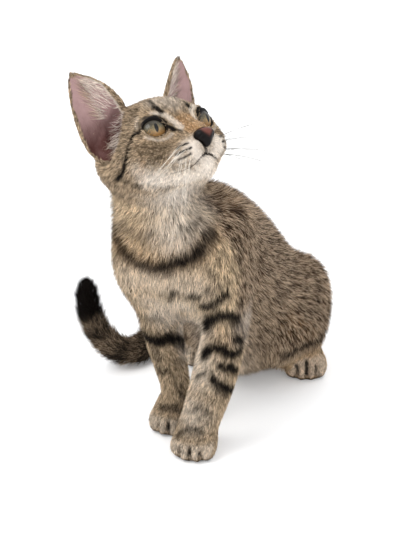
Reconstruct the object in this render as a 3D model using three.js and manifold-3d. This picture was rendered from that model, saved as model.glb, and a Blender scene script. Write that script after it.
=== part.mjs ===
// A tabby kitten of about four months that sits on the floor with one forepaw put forward and looks up to its
// left. Millimetres, +Z up. The kitten's chest faces -Y and its left side is towards +X; the floor is at Z = 0.
//
// The animal is first one smooth body of flesh and coat, made of tapering sweeps and ellipsoids that melt into
// each other. That body is turned into a closed mesh, thinned, and parted with thin cuts where its named parts
// meet.
import * as THREE from "three";
import { MarchingCubes } from "three/addons/objects/MarchingCubes.js";
import { ParametricGeometry } from "three/addons/geometries/ParametricGeometry.js";
import { mergeVertices } from "three/addons/utils/BufferGeometryUtils.js";
import Module from "manifold-3d";

const wasm = await Module();
wasm.setup();

const at = (x, y, z) => new THREE.Vector3(x, y, z);
const turned = (x, y, z, order = "ZXY") =>
  new THREE.Quaternion().setFromEuler(
    new THREE.Euler(...[x, y, z].map(THREE.MathUtils.degToRad), order),
  );
const UNTURNED = new THREE.Quaternion();
const X = at(1, 0, 0);
const Y = at(0, 1, 0);
const Z = at(0, 0, 1);

// ---------------------------------------------------------------- driving sizes

const GAP = 0.3; // between two parts that touch
const STEP = 3; // between the samples of the body's surface
const FACES = 9000; // triangles of the body before it is parted
const SIDES = { left: 1, right: -1 };

// The head is modelled in its own frame, facing -Y, and then turned up and to the left.
const HEAD = { at: at(-11, -56, 219), turn: turned(-32.8, 4.8, 66.4), size: 1.04 };

const EYE = { at: at(17.5, -19, 7.5), radius: 9.3, lid: 1.5, outward: 16 };
const EYE_SLIT = { wide: 16.6, high: 12, slant: 17 };

// The left ear: its inner and outer edge from the root to the tip, and the way its opening faces.
const EAR = {
  inner: [at(13.4, 3, 20.6), at(17.6, -2, 31.8), at(27.2, -2, 45.8), at(42.6, 6.1, 59)],
  outer: [at(27, 9, -9), at(42.6, 13, 9), at(48, 8.5, 38), at(44.2, 6.4, 59)],
  opens: at(0.5, -0.86, 0),
  deep: 12,
  thick: 2.2,
};

const TOE_SPREAD = [-10.4, -3.7, 3.7, 10.4];

// ---------------------------------------------------------------- smooth fields
// A field gives the distance from a point to a surface, below zero inside.

// Far away, a field is only the distance to a ball round its shape, which is quick to work out.
const FAR = 26;
function bounded(centre, radius, field) {
  return (p) => {
    const d = p.distanceTo(centre) - radius;
    return d > FAR ? d : field(p);
  };
}

function ellipsoid(centre, radii, turn = UNTURNED) {
  const back = turn.clone().invert();
  const q = new THREE.Vector3();
  return bounded(centre, Math.max(...radii), (p) => {
    q.copy(p).sub(centre).applyQuaternion(back).divide(radii);
    const k0 = q.length();
    return (k0 * (k0 - 1)) / Math.max(q.divide(radii).length(), 1e-9);
  });
}

// A tube through stations [place, half width, half depth]. The width is measured along `side`.
function sweep(stations, side, steps = 4) {
  const line = new THREE.CatmullRomCurve3(stations.map((s) => s[0]));
  const girth = new THREE.CatmullRomCurve3(
    stations.map((s) => at(s[1], s[2] ?? s[1], 0)),
  );
  const count = (stations.length - 1) * steps;
  const rings = Array.from({ length: count + 1 }, (_, i) => ({
    place: line.getPoint(i / count),
    half: girth.getPoint(i / count),
  }));
  const spans = rings.slice(1).map((b, i) => {
    const a = rings[i];
    const along = b.place.clone().sub(a.place);
    const length = along.length();
    along.normalize();
    const wide = side.clone().addScaledVector(along, -side.dot(along));
    wide.normalize();
    const deep = along.clone().cross(wide);
    return { a, b, along, length, wide, deep };
  });
  const spanFields = spans.map((s) => {
    const q = new THREE.Vector3();
    const middle = s.a.place.clone().lerp(s.b.place, 0.5);
    const reach = s.length / 2 + Math.max(...s.a.half, ...s.b.half);
    return bounded(middle, reach, (p) => {
      q.copy(p).sub(s.a.place);
      const t = Math.min(Math.max(q.dot(s.along) / s.length, 0), 1);
      q.addScaledVector(s.along, -t * s.length);
      const w = s.a.half.x + (s.b.half.x - s.a.half.x) * t;
      const h = s.a.half.y + (s.b.half.y - s.a.half.y) * t;
      const m = Math.min(w, h);
      const x = q.dot(s.wide) / w;
      const y = q.dot(s.deep) / h;
      const z = q.dot(s.along) / m;
      const k0 = Math.sqrt(x * x + y * y + z * z);
      const k1 = Math.sqrt((x / w) ** 2 + (y / h) ** 2 + (z / m) ** 2);
      return (k0 * (k0 - 1)) / Math.max(k1, 1e-9);
    });
  });
  const ball = new THREE.Box3()
    .setFromPoints(rings.map((r) => r.place))
    .getBoundingSphere(new THREE.Sphere());
  const thickest = Math.max(...rings.flatMap((r) => [r.half.x, r.half.y]));
  return bounded(ball.center, ball.radius + thickest, nearest(...spanFields));
}

// Fields that melt into each other over a width of `soft`.
const melt = (soft, ...fields) => (p) => {
  let sum = 1e3;
  for (const field of fields) {
    const d = field(p);
    const h = Math.max(soft - Math.abs(sum - d), 0) / soft;
    sum = Math.min(sum, d) - (h * h * soft) / 4;
  }
  return sum;
};

// A field with others taken out of it, the edge rounded over a width of `soft`.
const hollowed = (soft, field, ...holes) => {
  const filled = (p) => -field(p);
  const all = melt(soft, filled, ...holes);
  return (p) => -all(p);
};

function nearest(...fields) {
  return (p) => {
    let least = 1e3;
    for (const field of fields) least = Math.min(least, field(p));
    return least;
  };
}

function placed(field, place, turn, size = 1) {
  const back = turn.clone().invert();
  const q = new THREE.Vector3();
  return (p) => field(q.copy(p).sub(place).divideScalar(size).applyQuaternion(back)) * size;
}

// The same field on both sides of the plane X = 0.
const paired = (field) => {
  const q = new THREE.Vector3();
  return (p) => field(q.set(Math.abs(p.x), p.y, p.z));
};

// ---------------------------------------------------------------- the body of flesh and coat

function headField() {
  const cranium = ellipsoid(at(0, 8, 5), at(29, 31, 26));
  const brow = ellipsoid(at(0, -10, 10), at(25, 18.3, 17));
  const cheeks = paired(ellipsoid(at(18.5, 2, -9), at(14, 18, 14)));
  const underEye = paired(ellipsoid(at(21.5, -15.4, -5.2), at(13.6, 13, 11.6)));
  const bridge = sweep(
    [
      [at(0, -12, 6), 13, 12],
      [at(0, -27, 2), 9.5, 9],
      [at(0, -41, -3), 6, 6],
    ],
    X,
  );
  const pads = paired(ellipsoid(at(9, -34.5, -12), at(10.6, 10.3, 8)));
  const chin = ellipsoid(at(0, -31.4, -20), at(10.4, 8.6, 7));
  const jaw = paired(
    sweep(
      [
        [at(7, -24, -20), 9],
        [at(13, -6, -18.5), 10],
        [at(14, 9, -14), 11],
      ],
      Y,
    ),
  );
  const lids = paired(ellipsoid(EYE.at, at(1, 1, 1).multiplyScalar(EYE.radius + EYE.lid)));
  const earRoots = paired(ellipsoid(at(19, 13.5, 15), at(11.5, 11.5, 16)));
  const earCanals = paired(ellipsoid(at(29, 6, 15), at(7, 7, 19), turned(10, -25, 0)));
  const ruffs = paired(ellipsoid(at(25, 13, -2), at(12.5, 14, 14)));
  const skull = melt(12, cranium, brow, cheeks, underEye, jaw, ruffs);
  const crown = hollowed(5, melt(10, skull, earRoots), earCanals);
  const muzzle = melt(2.5, melt(6, bridge, pads), chin);
  return melt(4, melt(8, crown, muzzle), lids);
}

function noseField() {
  const wings = paired(ellipsoid(at(3.2, -44.4, -5.4), at(3.7, 4.4, 3.6)));
  const middle = ellipsoid(at(0, -45, -5.6), at(4.2, 4.4, 4.2));
  const cleft = ellipsoid(at(0, -44, -9.6), at(2.6, 3.4, 3.6));
  const nostrils = paired(ellipsoid(at(4.6, -48.4, -7.2), at(1.6, 2.4, 1), turned(0, 30, 0)));
  return hollowed(0.8, melt(2, wings, middle, cleft), nostrils);
}

function paw(toeLength, toeRise, back) {
  const palm = ellipsoid(at(0, 3, 9), at(13.5, 14, 10));
  const toes = TOE_SPREAD.map((x) => {
    const short = Math.abs(x) > 6 ? 4 : 0;
    return ellipsoid(at(x, -toeLength + short, toeRise), at(4.7, 8.6, 7.6));
  });
  return melt(7, palm, back, melt(2.2, ...toes));
}

function forepaw(place, yaw) {
  const back = ellipsoid(at(0, 6, 16), at(11.4, 11, 12));
  return bounded(place, 45, placed(paw(8.5, 6.8, back), place, turned(0, 0, yaw)));
}

function hindfoot(place, yaw) {
  const back = sweep(
    [
      [at(0, 0, 11.5), 12, 11],
      [at(0, 24, 12.5), 10, 10.5],
      [at(0, 50, 12), 9, 9.5],
    ],
    X,
  );
  return bounded(place, 75, placed(paw(9, 6.5, back), place, turned(0, 0, yaw)));
}

const FORE = {
  left: {
    limb: [
      [at(27, -30, 168), 13, 22],
      [at(31, -46, 134), 15, 22],
      [at(29, -38, 98), 14.5, 18],
      [at(25.5, -50, 62), 15.5, 15],
      [at(19.3, -57, 34), 14, 13],
      [at(15, -58, 20), 13, 12],
    ],
    paw: [at(13.5, -58, 0), 8],
  },
  right: {
    limb: [
      [at(-33, -26, 172), 14, 22],
      [at(-36, -42, 136), 15.2, 23.4],
      [at(-29, -30, 98), 13.8, 18],
      [at(-20, -31, 62), 12.4, 14],
      [at(-12.9, -31, 34), 9.8, 12],
      [at(-13, -31, 20), 11, 11.5],
    ],
    paw: [at(-15.2, -32, 0), 12],
  },
};

const HIND = {
  left: { foot: [at(43, 84, 0), 24] },
  right: { foot: [at(-42, 72, 0), -10] },
};

const TAIL = [
  [at(0, 104, 46), 14],
  [at(-5, 130, 28), 11.6],
  [at(-24, 146, 11.4), 10.6],
  [at(-58, 139, 9.5), 10.3],
  [at(-80, 104, 9.3), 10.2],
  [at(-80, 70, 9.2), 10],
  [at(-82, 48, 9.8), 9.8],
  [at(-93, 34, 16.6), 9.3],
  [at(-104, 28, 32), 9],
  [at(-110, 26, 50), 8.5],
  [at(-111.6, 26, 67), 7],
];

function bodyField() {
  const head = bounded(HEAD.at, 55, placed(headField(), HEAD.at, HEAD.turn, HEAD.size));
  const neck = sweep(
    [
      [at(-21.5, -50, 205), 25, 26],
      [at(-16.5, -47, 180), 29, 29],
      [at(-6, -38, 156), 36, 33],
      [at(-2, -24, 140), 36, 38],
    ],
    X,
  );
  const trunk = sweep(
    [
      [at(0, -30, 140), 34, 35.5],
      [at(0, -11, 132), 37, 44.8],
      [at(0, 22, 109), 40, 46.6],
      [at(0, 53, 82), 42, 45],
      [at(0, 86, 54), 41.5, 41.5],
      [at(0, 98, 46), 36, 36],
    ],
    X,
  );
  const belly = ellipsoid(at(0, 60, 46), at(34, 44, 38));
  const thigh = paired(ellipsoid(at(36, 86, 50), at(21, 40, 42), turned(-20, 0, 0)));
  const knee = paired(ellipsoid(at(36, 67, 42), at(16, 22, 24)));
  const footRooms = paired(ellipsoid(at(57, 51, 4), at(20, 30, 30)));
  const limbs = nearest(...Object.values(FORE).map((f) => sweep(f.limb, X)));
  const forepaws = nearest(...Object.values(FORE).map((f) => forepaw(...f.paw)));
  const hindfeet = nearest(...Object.values(HIND).map((h) => hindfoot(...h.foot)));
  const tail = sweep(TAIL, Z);
  const torso = hollowed(5, melt(14, melt(24, trunk, belly), thigh, knee), footRooms);
  const front = melt(14, melt(20, torso, neck), limbs);
  return melt(6, melt(10, melt(6, melt(12, front, head), forepaws), tail), hindfeet);
}

// ---------------------------------------------------------------- from fields to closed meshes

// The surface of a field inside a cube.
function surfaceOf(field, centre, half, step) {
  const size = Math.ceil((2 * half) / step) + 4;
  const cubes = new MarchingCubes(size, new THREE.MeshBasicMaterial(), false, false, 400000);
  const reach = (size * step) / 2;
  const p = new THREE.Vector3();
  for (let k = 0, n = 0; k < size; k++)
    for (let j = 0; j < size; j++)
      for (let i = 0; i < size; i++, n++) {
        p.set(i, j, k).multiplyScalar(step).addScalar(-reach).add(centre);
        cubes.field[n] = -field(p);
      }
  cubes.isolation = 0;
  cubes.update();
  const found = cubes.geometry.drawRange.count;
  const places = cubes.geometry.attributes.position.array.slice(0, found * 3);
  const geometry = new THREE.BufferGeometry();
  geometry.setAttribute("position", new THREE.BufferAttribute(places, 3));
  geometry.scale(reach, reach, reach).translate(centre.x, centre.y, centre.z);
  return mergeVertices(geometry, 1e-3);
}

// How far off a set of planes a point lies, squared and summed, as ten numbers that can be added up.
const planeSum = (n, d, w) =>
  [n.x * n.x, n.x * n.y, n.x * n.z, n.x * d, n.y * n.y, n.y * n.z, n.y * d, n.z * n.z, n.z * d, d * d].map(
    (v) => v * w,
  );
const offPlanes = (q, { x, y, z }) =>
  x * (q[0] * x + 2 * (q[1] * y + q[2] * z + q[3])) +
  y * (q[4] * y + 2 * (q[5] * z + q[6])) +
  z * (q[7] * z + 2 * q[8]) +
  q[9];

// A mesh with fewer triangles. Edges are drawn together where that moves the surface least; `care` is how
// much a place matters.
function thinned(geometry, count, care) {
  const spots = geometry.attributes.position;
  const corners = geometry.index;
  const place = Array.from({ length: spots.count }, (_, i) => at(0, 0, 0).fromBufferAttribute(spots, i));
  const planes = place.map(() => new Float64Array(10));
  let faces = [];
  for (let i = 0; i < corners.count; i += 3) faces.push([0, 1, 2].map((k) => corners.getX(i + k)));
  const flat = new THREE.Triangle();
  const before = at(0, 0, 0);
  const after = at(0, 0, 0);
  for (const face of faces) {
    flat.set(...face.map((v) => place[v]));
    flat.getNormal(before);
    const weight = flat.getArea() * care(flat.getMidpoint(after));
    const sum = planeSum(before, -before.dot(flat.a), weight);
    for (const v of face) sum.forEach((s, i) => (planes[v][i] += s));
  }
  while (faces.length > count) {
    const round = place.map(() => []);
    for (const face of faces) for (const v of face) round[v].push(face);
    const edges = [];
    for (const face of faces)
      for (const k of [0, 1, 2]) {
        const [a, b] = [face[k], face[(k + 1) % 3]];
        if (a > b) continue;
        const sum = planes[a].map((s, i) => s + planes[b][i]);
        const middle = place[a].clone().lerp(place[b], 0.5);
        const better = (l, r) => (offPlanes(sum, r) < offPlanes(sum, l) ? r : l);
        const spot = [middle, place[a], place[b]].reduce(better);
        const long = place[a].distanceToSquared(place[b]) * care(middle);
        edges.push({ a, b, sum, spot: spot.clone(), cost: offPlanes(sum, spot) + 2e-3 * long });
      }
    edges.sort((l, r) => l.cost - r.cost);
    const busy = new Set();
    let left = faces.length;
    for (const { a, b, sum, spot } of edges.slice(0, edges.length / 3)) {
      if (left <= count) break;
      const near = [a, b].map((v) => new Set(round[v].flat()));
      const ring = new Set([...near[0], ...near[1]]);
      const shared = [...near[0]].filter((v) => near[1].has(v));
      if (shared.length !== 4 || [...ring].some((v) => busy.has(v))) continue;
      const folds = [...round[a], ...round[b]].some((face) => {
        if (face.includes(a) && face.includes(b)) return false;
        flat.set(...face.map((v) => place[v])).getNormal(before);
        flat.set(...face.map((v) => (v === a || v === b ? spot : place[v]))).getNormal(after);
        return before.dot(after) < 0.3;
      });
      if (folds) continue;
      place[a].copy(spot);
      planes[a] = sum;
      for (const face of round[b]) face.splice(0, 3, ...face.map((v) => (v === b ? a : v)));
      ring.forEach((v) => busy.add(v));
      left -= 2;
    }
    faces = faces.filter((f) => f[0] !== f[1] && f[1] !== f[2] && f[2] !== f[0]);
  }
  const thin = new THREE.BufferGeometry().setFromPoints(place);
  return thin.setIndex(faces.flat());
}

// Moves the corners of a mesh towards the middle of their neighbours, and back onto the surface of the field.
function settled(geometry, field, rounds) {
  const spots = geometry.attributes.position;
  const corners = geometry.index;
  const place = Array.from({ length: spots.count }, (_, i) => at(0, 0, 0).fromBufferAttribute(spots, i));
  const near = place.map(() => new Set());
  for (let i = 0; i < corners.count; i += 3) {
    const face = [0, 1, 2].map((k) => corners.getX(i + k));
    for (const v of face) for (const w of face) if (v !== w) near[v].add(w);
  }
  const step = 0.4;
  const up = at(0, 0, 0);
  for (let round = 0; round < rounds; round++)
    place.forEach((p, v) => {
      if (near[v].size === 0) return;
      const middle = at(0, 0, 0);
      for (const w of near[v]) middle.add(place[w]);
      p.lerp(middle.divideScalar(near[v].size), 0.5);
      for (let pull = 0; pull < 2; pull++) {
        const d = field(p);
        const slope = [X, Y, Z].map((way) => (field(up.copy(p).addScaledVector(way, step)) - d) / step);
        up.set(...slope);
        p.addScaledVector(up, THREE.MathUtils.clamp(-d / Math.max(up.lengthSq(), 0.2), -2, 2));
      }
    });
  return new THREE.BufferGeometry().setFromPoints(place).setIndex(corners);
}

// ---------------------------------------------------------------- from meshes to solids

function solidOf(geometry) {
  const bare = geometry.index ? geometry.toNonIndexed() : geometry.clone();
  bare.deleteAttribute("normal");
  bare.deleteAttribute("uv");
  const whole = mergeVertices(bare, 1e-3);
  return new wasm.Manifold(
    new wasm.Mesh({
      numProp: 3,
      vertProperties: whole.attributes.position.array,
      triVerts: new Uint32Array(whole.index.array),
    }),
  );
}

// A geometry made in the head's frame, on the left or mirrored to the right, brought to its place.
function onHead(geometry, side = 1) {
  if (side < 0) {
    geometry.scale(-1, 1, 1);
    const whole = geometry.index ? geometry : mergeVertices(geometry);
    whole.setIndex([...whole.index.array].reverse());
    geometry = whole;
  }
  geometry.scale(HEAD.size, HEAD.size, HEAD.size).applyQuaternion(HEAD.turn);
  return geometry.translate(...HEAD.at);
}

// ---------------------------------------------------------------- ears and eyes

// A cupped shell with rounded rims, thinner to the tip. `grow` makes it thicker and sets its root deeper.
function earShell(side, grow) {
  const inner = new THREE.CatmullRomCurve3(EAR.inner);
  const outer = new THREE.CatmullRomCurve3(EAR.outer);
  const a = at(0, 0, 0);
  const b = at(0, 0, 0);
  // `turn` goes from the inner edge round the back to the outer edge, `off` is how far off the shell's middle
  // a face lies and `rim` how far the rim stands out.
  const spot = (turn, v, off, rim, target) => {
    inner.getPoint(v, a);
    outer.getPoint(v, b);
    target.copy(a).add(b).multiplyScalar(0.5);
    b.sub(a).multiplyScalar(0.5);
    const reach = b.length() + off + rim;
    target.addScaledVector(b.normalize(), reach * Math.sin(turn));
    const deep = EAR.deep * (1 - v) ** 0.75 + 0.6 + off;
    return target.addScaledVector(EAR.opens, (rim && grow * 1.5) - deep * Math.cos(turn));
  };
  const next = at(0, 0, 0);
  const shape = (u, v, target) => {
    const s = Math.abs(u * 2 - 1);
    const turn = (s - 0.09 * Math.sin(2 * Math.PI * s) - 0.5) * Math.PI;
    const rim = s < 1e-6 || s > 1 - 1e-6;
    const end = v === 0 || v === 1;
    const half = (EAR.thick / 2) * (1 - 0.4 * v) + grow;
    const face = end || rim ? 0 : half * Math.sign(0.5 - u);
    spot(turn, v, face, rim && !end ? half * 0.7 : 0, target);
    if (v > 0 || grow === 0) return;
    spot(turn, 0.03, 0, 0, next).sub(target).normalize();
    target.addScaledVector(next, -4 * grow);
  };
  return solidOf(onHead(new ParametricGeometry(shape, 16, 9), side));
}

function eyeball(side, radius) {
  return solidOf(onHead(new THREE.IcosahedronGeometry(radius, 3).translate(...EYE.at), side));
}

// The almond opening between the lids, as a block that points outward from the middle of the eye.
function eyeOpening(side) {
  const { wide, high, slant } = EYE_SLIT;
  const almond = new THREE.Shape();
  almond.moveTo(-wide / 2, -0.6);
  almond.bezierCurveTo(-wide * 0.28, high * 0.62, wide * 0.28, high * 0.72, wide / 2, 0.4);
  almond.bezierCurveTo(wide * 0.3, -high * 0.66, -wide * 0.25, -high * 0.62, -wide / 2, -0.6);
  const block = new THREE.ExtrudeGeometry(almond, { depth: 20, bevelEnabled: false, curveSegments: 6 });
  block.rotateZ(THREE.MathUtils.degToRad(slant)).rotateX(Math.PI / 2);
  block.rotateZ(THREE.MathUtils.degToRad(EYE.outward)).translate(...EYE.at);
  return solidOf(onHead(block, side));
}

// ---------------------------------------------------------------- moulds that part the body
// Each is a function of how much it is grown on all sides, so that a thin gap can be left round its piece.

// An upright block between two corners, turned about Z and moved to its place.
const block = (low, high, place = at(0, 0, 0), yaw = 0) => (grow) => {
  const box = new THREE.Box3(low, high).expandByScalar(grow);
  const shape = new THREE.BoxGeometry(...box.getSize(at(0, 0, 0)));
  shape.translate(...box.getCenter(at(0, 0, 0)));
  return shape.rotateZ(THREE.MathUtils.degToRad(yaw)).translate(...place);
};

// A block on the side of a plane that `out` points to.
const beyond = (place, out, wide, deep) => (grow) => {
  const shape = new THREE.BoxGeometry(wide + grow * 2, wide + grow * 2, deep + grow * 2);
  shape.translate(0, 0, deep / 2);
  const turn = new THREE.Quaternion().setFromUnitVectors(Z, out.clone().normalize());
  return shape.applyQuaternion(turn).translate(...place);
};

// A block round the line between two places.
const along = (low, high, wide) => (grow) =>
  beyond(low, high.clone().sub(low), wide, high.distanceTo(low))(grow);

// An oval block on one side of the body, from x outward, leaning back by some degrees.
const oval = (side, { x, y, z, deep, half, high, lean = 0 }) => (grow) => {
  const shape = new THREE.CylinderGeometry(1, 1, deep + grow * 2, 32);
  shape.rotateZ(Math.PI / 2).scale(1, half + grow, high + grow);
  shape.rotateX(THREE.MathUtils.degToRad(-lean));
  return shape.translate(side * (x + deep / 2), y, z);
};

// ---------------------------------------------------------------- the named parts

const COAT = 0.95; // roughness of fur
const LOOKS = {
  head: ["#93805f", COAT],
  nose: ["#6e3f33", 0.55],
  eye: ["#8f8253", 0.12],
  ear: ["#8a7060", 0.85],
  neck: ["#9c8f7a", COAT],
  thorax: ["#8c7f6a", COAT],
  abdomen: ["#6d6152", COAT],
  rump: ["#6a5e4f", COAT],
  shoulder: ["#8f826c", COAT],
  foreleg: ["#8a7d68", COAT],
  forepaw: ["#86765e", COAT],
  thigh: ["#74684f", COAT],
  hindfoot: ["#8b7656", COAT],
  tail_base: ["#51483c", COAT],
  tail_middle: ["#48413a", COAT],
  tail_end: ["#3c3732", COAT],
  tail_tip: ["#201d1b", COAT],
};

// Part, the mould that takes it and how many triangles it is given. The order matters: each mould takes what
// the ones before it have left.
const footMould = ([place, yaw]) => block(at(-17, -30, -5), at(17, 58, 24), place, yaw);
const THIGH = { x: 25, y: 84, z: 45, deep: 34, half: 53, high: 55 };
const SHOULDER = { x: 20, y: -38, z: 130, deep: 60, half: 33, high: 44, lean: 10 };
const headPlace = at(5, 17, -19).multiplyScalar(HEAD.size).applyQuaternion(HEAD.turn).add(HEAD.at);
const headUp = at(-0.2, -0.71, 0.67).applyQuaternion(HEAD.turn);
const PARTS = [
  ["head", beyond(headPlace, headUp, 150, 120), 1250],
  ["forepaw_left", block(at(-2, -90, -5), at(50, -38, 23)), 380],
  ["forepaw_right", block(at(-50, -70, -5), at(2, -8, 23)), 380],
  ["foreleg_left", along(at(14, -59, 12), at(27, -40, 86), 40), 240],
  ["foreleg_right", along(at(-13, -31, 12), at(-28, -29, 86), 40), 240],
  ["hindfoot_left", footMould(HIND.left.foot), 380],
  ["hindfoot_right", footMould(HIND.right.foot), 380],
  ["thigh_left", oval(1, THIGH), 320],
  ["thigh_right", oval(-1, THIGH), 320],
  ["shoulder_left", oval(1, SHOULDER), 260],
  ["shoulder_right", oval(-1, SHOULDER), 260],
  ["tail_tip", beyond(at(-100, 29, 30), at(-0.3, -0.1, 1), 60, 80), 180],
  ["tail_end", beyond(at(-86, 62, 11), at(-0.12, -1, 0), 60, 80), 180],
  ["tail_middle", block(at(-110, 50, -5), at(-62, 170, 40)), 200],
  ["tail_base", beyond(at(-2, 124, 32), at(-0.2, 0.85, -0.5), 140, 90), 300],
  ["neck", beyond(at(-8, -36, 158), at(-0.2, -0.3, 0.93), 150, 70), 360],
  ["thorax", beyond(at(0, 24, 102), at(0, -0.82, 0.57), 260, 160), 380],
  ["abdomen", beyond(at(0, 66, 68), at(0, -0.85, 0.5), 260, 160), 340],
  ["rump", beyond(at(0, 66, 68), at(0, 0.85, -0.5), 260, 160), 340],
];

const kitten = new THREE.Group();
kitten.name = "kitten";

function meshOf(solid) {
  const { vertProperties, triVerts } = solid.getMesh();
  const geometry = new THREE.BufferGeometry();
  geometry.setAttribute("position", new THREE.BufferAttribute(vertProperties, 3));
  return geometry.setIndex(new THREE.BufferAttribute(triVerts, 1));
}

function add(name, solid) {
  const geometry = meshOf(solid);
  geometry.computeVertexNormals();
  const [color, roughness] = LOOKS[name] ?? LOOKS[name.replace(/_(left|right)$/, "")];
  const material = new THREE.MeshStandardMaterial({ color, roughness, metalness: 0 });
  const mesh = new THREE.Mesh(geometry, material);
  mesh.name = name;
  kitten.add(mesh);
}

// How much a place matters when the body is thinned.
function care(p) {
  if (p.distanceTo(HEAD.at) < 50) return 4;
  if (p.z < 26 && p.x > -60) return 4;
  return p.x < -64 ? 2 : 1;
}

const coat = bodyField();

// Inside the coat a part's faces are cuts, which have to stay flat.
const careOfCuts = (p) => (coat(p) < -0.6 ? 40 : 1);

const rough = surfaceOf(coat, at(-24, 30, 145), 160, STEP);
let body = solidOf(settled(thinned(rough, FACES, care), coat, 5));
body = body.subtract(solidOf(block(at(-300, -300, -50), at(300, 300, 0))(0)));

const nose = noseField();
const noseLeather = (grow) => {
  const skin = surfaceOf((p) => nose(p) - grow, at(0, -45, -7), 11, 0.7);
  return solidOf(onHead(thinned(skin, 300, () => 1)));
};

// The hollows in the head that the nose, the ears and the eyes sit in.
let beds = noseLeather(GAP);
for (const side of Object.values(SIDES)) {
  beds = beds.add(earShell(side, GAP)).add(earShell(side, 0));
  beds = beds.add(eyeball(side, EYE.radius + GAP)).add(eyeOpening(side));
}
add("nose", noseLeather(0));
for (const [name, side] of Object.entries(SIDES)) {
  add(`ear_${name}`, earShell(side, 0));
  add(`eye_${name}`, eyeball(side, EYE.radius));
}

const taken = [];
for (const [name, mould, faces] of PARTS) {
  const lumps = body.intersect(solidOf(mould(0))).decompose();
  lumps.sort((l, r) => r.volume() - l.volume());
  // Thinning can push a cut a little way into the gap; what reaches more than a third of it is trimmed off.
  let part = solidOf(thinned(meshOf(lumps[0]), faces, careOfCuts)).intersect(solidOf(mould(GAP / 3)));
  for (const trim of taken) part = part.subtract(trim);
  taken.push(solidOf(mould(GAP / 1.5)));
  add(name, name === "head" ? part.subtract(beds) : part);
  body = body.subtract(solidOf(mould(GAP)));
}

// The origin is on the floor below the middle of the whole.
const middle = new THREE.Box3().setFromObject(kitten).getCenter(at(0, 0, 0));
for (const mesh of kitten.children) mesh.geometry.translate(-middle.x, -middle.y, 0);

export default kitten;
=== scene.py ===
# %% [markdown]
# # A sitting tabby kitten
#
# A life-size model of a living kitten: one skin over the whole body, a coat of many thousand small tufts,
# and separate eyes, eyelids, nose leather, lips and whiskers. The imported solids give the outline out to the
# tips of the coat. Everything here is made inside that outline.

# %% The frame
import math

import bmesh
import bpy
import numpy as np
from mathutils import Euler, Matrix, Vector
from mathutils.bvhtree import BVHTree
from mathutils.kdtree import KDTree


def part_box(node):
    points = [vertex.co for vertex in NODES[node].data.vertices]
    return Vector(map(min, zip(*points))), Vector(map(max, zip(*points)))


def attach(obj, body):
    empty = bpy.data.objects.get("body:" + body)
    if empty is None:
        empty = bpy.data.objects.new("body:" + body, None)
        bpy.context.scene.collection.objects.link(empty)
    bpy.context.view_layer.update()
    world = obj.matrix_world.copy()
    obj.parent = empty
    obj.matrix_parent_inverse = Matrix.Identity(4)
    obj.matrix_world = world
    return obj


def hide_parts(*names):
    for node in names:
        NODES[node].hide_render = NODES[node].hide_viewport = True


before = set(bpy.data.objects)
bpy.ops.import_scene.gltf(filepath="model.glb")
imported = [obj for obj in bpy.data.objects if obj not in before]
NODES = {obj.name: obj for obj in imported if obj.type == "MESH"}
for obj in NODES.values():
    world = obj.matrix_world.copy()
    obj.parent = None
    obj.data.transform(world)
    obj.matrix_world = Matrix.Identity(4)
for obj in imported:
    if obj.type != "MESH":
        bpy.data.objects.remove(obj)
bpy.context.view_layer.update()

# %% [markdown]
# ## The kitten's own two frames
#
# An animal is measured in its own frames: millimetres from the floor between its forepaws for the body, and
# millimetres from the middle of the skull for the head, which faces -Y there before it is turned up and to
# the left. The two eyes tell where the head sits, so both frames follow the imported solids.

# %% Frames of the head and the body
MM = 0.001
HEAD_SIZE = 1.04
HEAD_TURN = Euler([math.radians(a) for a in (-32.8, 4.8, 66.4)], "YXZ").to_matrix()
HEAD_IN_BODY = Vector((-11, -56, 219))
EYE_AT = Vector((17.5, -19, 7.5))
EYE_RADIUS = 9.3
SIDES = {"left": 1, "right": -1}


def middle_of(node):
    low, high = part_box(node)
    return (low + high) / 2


def add_object(name, data):
    """A new object in the scene, at the origin."""
    thing = bpy.data.objects.new(name, data)
    bpy.context.scene.collection.objects.link(thing)
    return thing


between_eyes = (middle_of("eye_left") + middle_of("eye_right")) / 2
HEAD_AT = between_eyes - HEAD_TURN @ Vector((0, EYE_AT.y, EYE_AT.z)) * HEAD_SIZE * MM
BODY_AT = HEAD_AT - HEAD_IN_BODY * MM


def on_body(*spot):
    return BODY_AT + Vector(spot) * MM


def on_head(*spot):
    return HEAD_AT + HEAD_TURN @ Vector(spot) * HEAD_SIZE * MM


def head_way(*way):
    return (HEAD_TURN @ Vector(way)).normalized()


print("head", [round(c, 4) for c in HEAD_AT], "body", [round(c, 4) for c in BODY_AT])

# %% [markdown]
# ## Camera, floor and light
#
# The kitten is looked at from a little above and from its left front, with a long lens, on a pale seamless
# floor under large soft lights. A big plane that bends up behind would work too; a flat floor and a pale
# sky give the same bright ground and leave the kitten free from all sides.

# %% The camera
CAMERA_AZIMUTH = math.radians(23.0)
CAMERA_HEIGHT = math.radians(24.5)
CAMERA_AWAY = 1.1  # metres
CAMERA_LENS = 101.2  # millimetres
AIM = on_body(0, 0, 105)

toward = Vector(
    (
        math.sin(CAMERA_AZIMUTH) * math.cos(CAMERA_HEIGHT),
        -math.cos(CAMERA_AZIMUTH) * math.cos(CAMERA_HEIGHT),
        math.sin(CAMERA_HEIGHT),
    )
)
camera = add_object("camera", bpy.data.cameras.new("camera"))
camera.data.lens = CAMERA_LENS
camera.location = AIM + toward * CAMERA_AWAY
camera.rotation_euler = toward.to_track_quat("Z", "Y").to_euler()
bpy.context.scene.camera = camera
print("camera at", [round(c, 3) for c in camera.location])


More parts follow.
